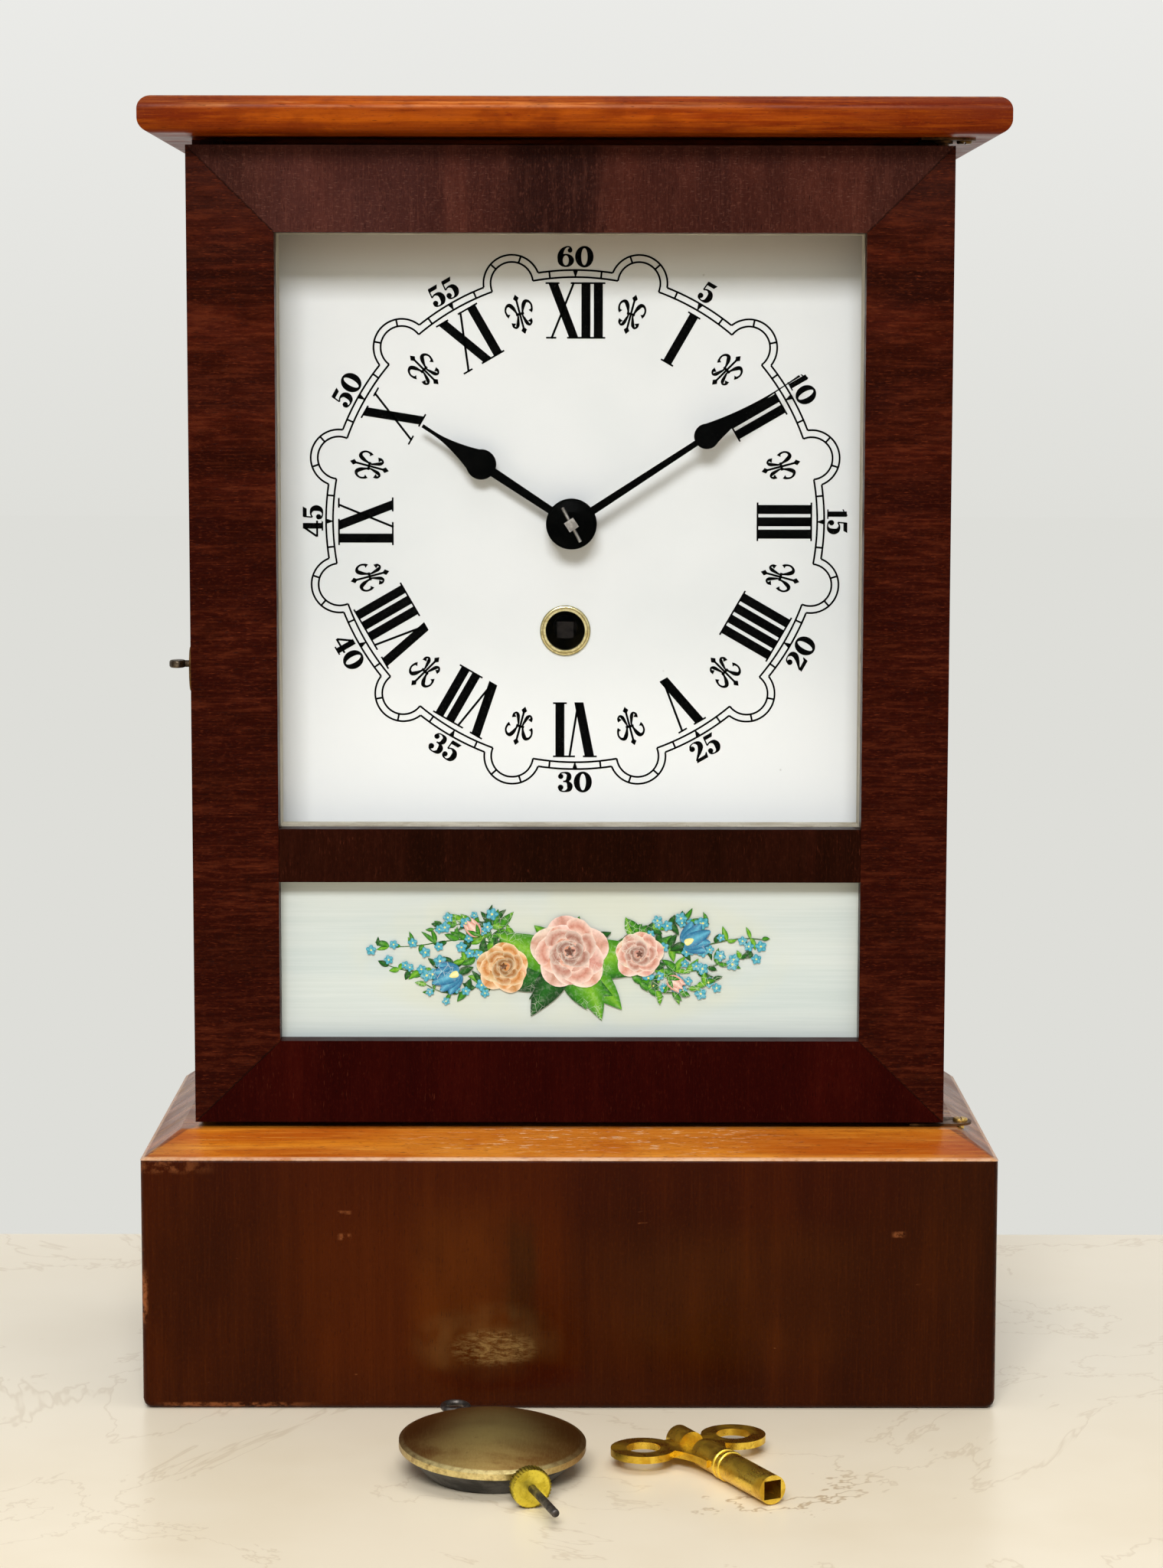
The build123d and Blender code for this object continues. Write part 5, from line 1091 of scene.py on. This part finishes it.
def dress_metal():
    nut_lo, nut_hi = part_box("rating_nut")

    def reeded_edge(f, colour):
        """Old dirt in the reeding round the nut."""
        rim = (nut_hi.z - nut_lo.z) / 2 / MM
        return f.blend(f.radius((nut_lo + nut_hi) / 2).span(rim - 0.6, rim - 0.2) * 0.75, colour, (70, 50, 16))

    def upper_tarnish(f, colour):
        """The upper hinge screw is painted brown as shade under the top board; the lower one is still bright."""
        return f.blend(f.z.span(200, 210) * 0.85, colour, (64, 40, 24))

    give(metal("brass_worn", (206, 170, 92), (150, 116, 58), (74, 52, 26), 0.26, (0.05, 1, 1)),
         "latch_keeper", "suspension_post", "centre_wheel", "great_wheel", "hour_wheel", "minute_wheel")
    give(metal("brass_movement_plates", (214, 180, 104), (170, 134, 70), (96, 70, 34), 0.30, (1, 1, 0.04)),
         "movement_back_plate")
    give(metal("brass_dark_latch", (120, 90, 52), (66, 44, 26), (30, 20, 14), 0.36, spot=0.7, patch=4.0),
         "latch_escutcheon", "latch_tongue")
    give(metal("latch_knob_tarnished", (104, 92, 78), (56, 46, 36), (26, 18, 14), 0.34, spot=0.7, patch=3.0),
         "latch_knob")
    # Dark brass on both hinge plates: tarnish, and on the upper plate also painted shade under the top board.
    give(metal("hinge_plate_tarnished", (104, 72, 44), (58, 38, 24), (26, 16, 10), 0.40, spot=0.7, patch=5.0),
         "hinge_plates")
    give(metal("nut_yellow_brass", (240, 222, 84), (210, 188, 56), (96, 70, 20), 0.24, spot=0.5, patch=3.0,
               tone=reeded_edge), "rating_nut")
    give(metal("hinge_screw_brass", (214, 178, 100), (160, 124, 62), (74, 52, 26), 0.26, spot=0.4, patch=3.0,
               tone=upper_tarnish), "hinge_screws")
    give(metal("key_golden_brass", (246, 212, 84), (200, 156, 44), (104, 70, 18), 0.22, (1, 0.2, 1), 0.6, 7.0),
         "key_wings", "key_barrel")
    give(metal("steel_bright", (176, 174, 170), (118, 114, 110), (58, 46, 38), 0.28, (1, 0.05, 1), 0.5, 5.0),
         "case_back_nails", "dial_pins", "movement_pillars", "pillar_nuts", "movement_screws", "centre_arbor",
         "taper_pin", "third_wheel", "escape_wheel", "click", "click_spring", "verge")
    give(metal("steel_dark_wire", (104, 98, 94), (58, 54, 52), (34, 22, 18), 0.34, spot=0.6, patch=4.0),
         "pendulum_rod", "bob_wire")
    # The winding arbor's square: dark steel, darkened further as painted shade inside the winding hole.
    give(metal("winding_square_dark", (38, 35, 34), (22, 20, 20), (14, 10, 9), 0.30, (1, 0.1, 1), 0.5, 3.0),
         "winding_arbor")
    give(metal("spring_blued_steel", (74, 82, 104), (48, 52, 64), (30, 26, 26), 0.26, (1, 1, 0.1)),
         "mainspring", "suspension_spring")
    give(metal("bob_cast_weight", (92, 90, 88), (64, 62, 60), (34, 32, 30), 0.55, metallic=0.7, bump=0.15),
         "bob_weight")
    give(grommet_brass(), "winding_grommet")
    give(oiled_plate(), "movement_front_plate")
    give(bob_patina(), "bob_shell")


def fuller_hour_hand(material):
    """The CAD hour hand with its spade and point grown sideways, as full as the photographed one. It stands for
    the node. The table gives millimetres from the arbor and millimetres added on each side."""
    mid = middle(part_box("centre_arbor"))
    b = welded("hour_hand")
    b.normal_update()
    moves = []
    for v in b.verts:
        away = math.hypot(v.co.x - mid.x, v.co.z - mid.z) / MM
        out = Vector((v.normal.x, 0, v.normal.z))
        if away > HOUR_HAND_GROWTH[0][0] and out.length > SIDEWAYS:
            for (near_end, less), (far_end, more) in zip(HOUR_HAND_GROWTH, HOUR_HAND_GROWTH[1:]):
                if away <= far_end:
                    break
            share = min((away - near_end) / (far_end - near_end), 1.0)
            moves.append((v, out.normalized() * (less + (more - less) * share) * MM))
    for v, move in moves:
        v.co += move
    mesh = closed(b, bpy.data.meshes.new("hour_hand_fuller"))
    made = piece("hour_hand_fuller", mesh, material, body_of_node["hour_hand"])
    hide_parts("hour_hand")


def dress_rest():
    for node_name, grain in (("base_back", "X"), ("base_bottom", "X"), ("base_glue_blocks", "Z"), ("case_back", "Z"),
                             ("dial_strips", "Z"), ("movement_rails", "Z")):
        give(plain_pine(node_name + "_pine", grain, (0.1 * len(node_name), 0.2, 0.3)), node_name)
    give(veneer("glass_bead_old_paint", "Z", (168, 158, 138), (196, 188, 170), (214, 208, 194), (0.3, 0.1, 0.7),
                band=9, figure=0.2, fine=0.2, pore=0.4, gloss=0.5, shine=0.1), "glass_beads")
    give(dial_paint(), "dial_plate")
    enamel = black_enamel("hands_black_enamel")
    give(enamel, "minute_hand", "hand_washer")
    fuller_hour_hand(enamel)


# --- Stage, light and camera, in metres ---

ROOM_LIGHT = 0.30
TABLE_REACH = 6
DAYLIGHT = (0.98, 0.99, 1.0)
LENS, SENSOR = 82.07, 36.0
CAMERA_AT = (0.359 * MM, -975.455 * MM, 270.842 * MM)
PITCH, YAW, ROLL = 0.1135, 0.0029, 0.0015


def stage():
    mesh = bpy.data.meshes.new("table_top")
    mesh.from_pydata([(x * TABLE_REACH, y * TABLE_REACH, 0) for x, y in ((-1, -1), (1, -1), (1, 1), (-1, 1))], [],
                     [(0, 1, 2, 3)])
    mesh.materials.append(floor_and_wall())
    table = linked("table_top", mesh)


def sky():
    """A plain even room: pale behind the clock, and the same soft white for its light."""
    f = Finish("pale_room", "worlds", "Generated")
    height = f.node("ShaderNodeMapRange", {}, {"Value": f.z, "From Min": -0.05, "From Max": 0.12})
    light = f.node("ShaderNodeBackground", {}, {"Color": (0.97, 0.985, 1.0, 1), "Strength": ROOM_LIGHT})
    wall = f.node("ShaderNodeBackground", {}, {"Color": f.blend(height, WALL_LOW, WALL_HIGH)})
    bpy.context.scene.world = f.ends(f.node("ShaderNodeMixShader", {}, {0: f.seen(), 1: light, 2: wall}),
                                     "ShaderNodeOutputWorld")


def lamp(name, place, aim, size, watts):
    data = bpy.data.lights.new(name, "AREA")
    data.shape, data.size, data.size_y = "RECTANGLE", size[0], size[1]
    data.energy, data.color = watts, DAYLIGHT
    made = linked(name, data)
    made.location = place
    made.rotation_euler = (Vector(aim) - Vector(place)).to_track_quat("-Z", "Y").to_euler()


def camera():
    data = bpy.data.cameras.new("photo_view")
    data.sensor_width, data.sensor_fit, data.lens = SENSOR, "AUTO", LENS
    data.clip_start, data.clip_end = 0.05, 50.0
    made = linked("photo_view", data)
    made.location = CAMERA_AT
    made.rotation_euler = (Matrix.Rotation(-YAW, 3, "Z") @ Matrix.Rotation(math.pi / 2 - PITCH, 3, "X")
                           @ Matrix.Rotation(ROLL, 3, "Z")).to_euler()
    bpy.context.scene.camera = made


bpy.context.scene.view_settings.view_transform = "Standard"
dress_case()
dress_door()
dress_metal()
dress_rest()
dial_print(black_enamel("dial_black_ink", 0.45, True))
flower_spray(spray_paint())
stage()
sky()
lamp("window_ahead", (-0.14, -1.80, 1.30), (0, 0, 0.2), (0.9, 0.45), 34)
lamp("ceiling", (0.1, -0.3, 1.9), (0, -0.05, 0.2), (1.6, 1.2), 14)
camera()
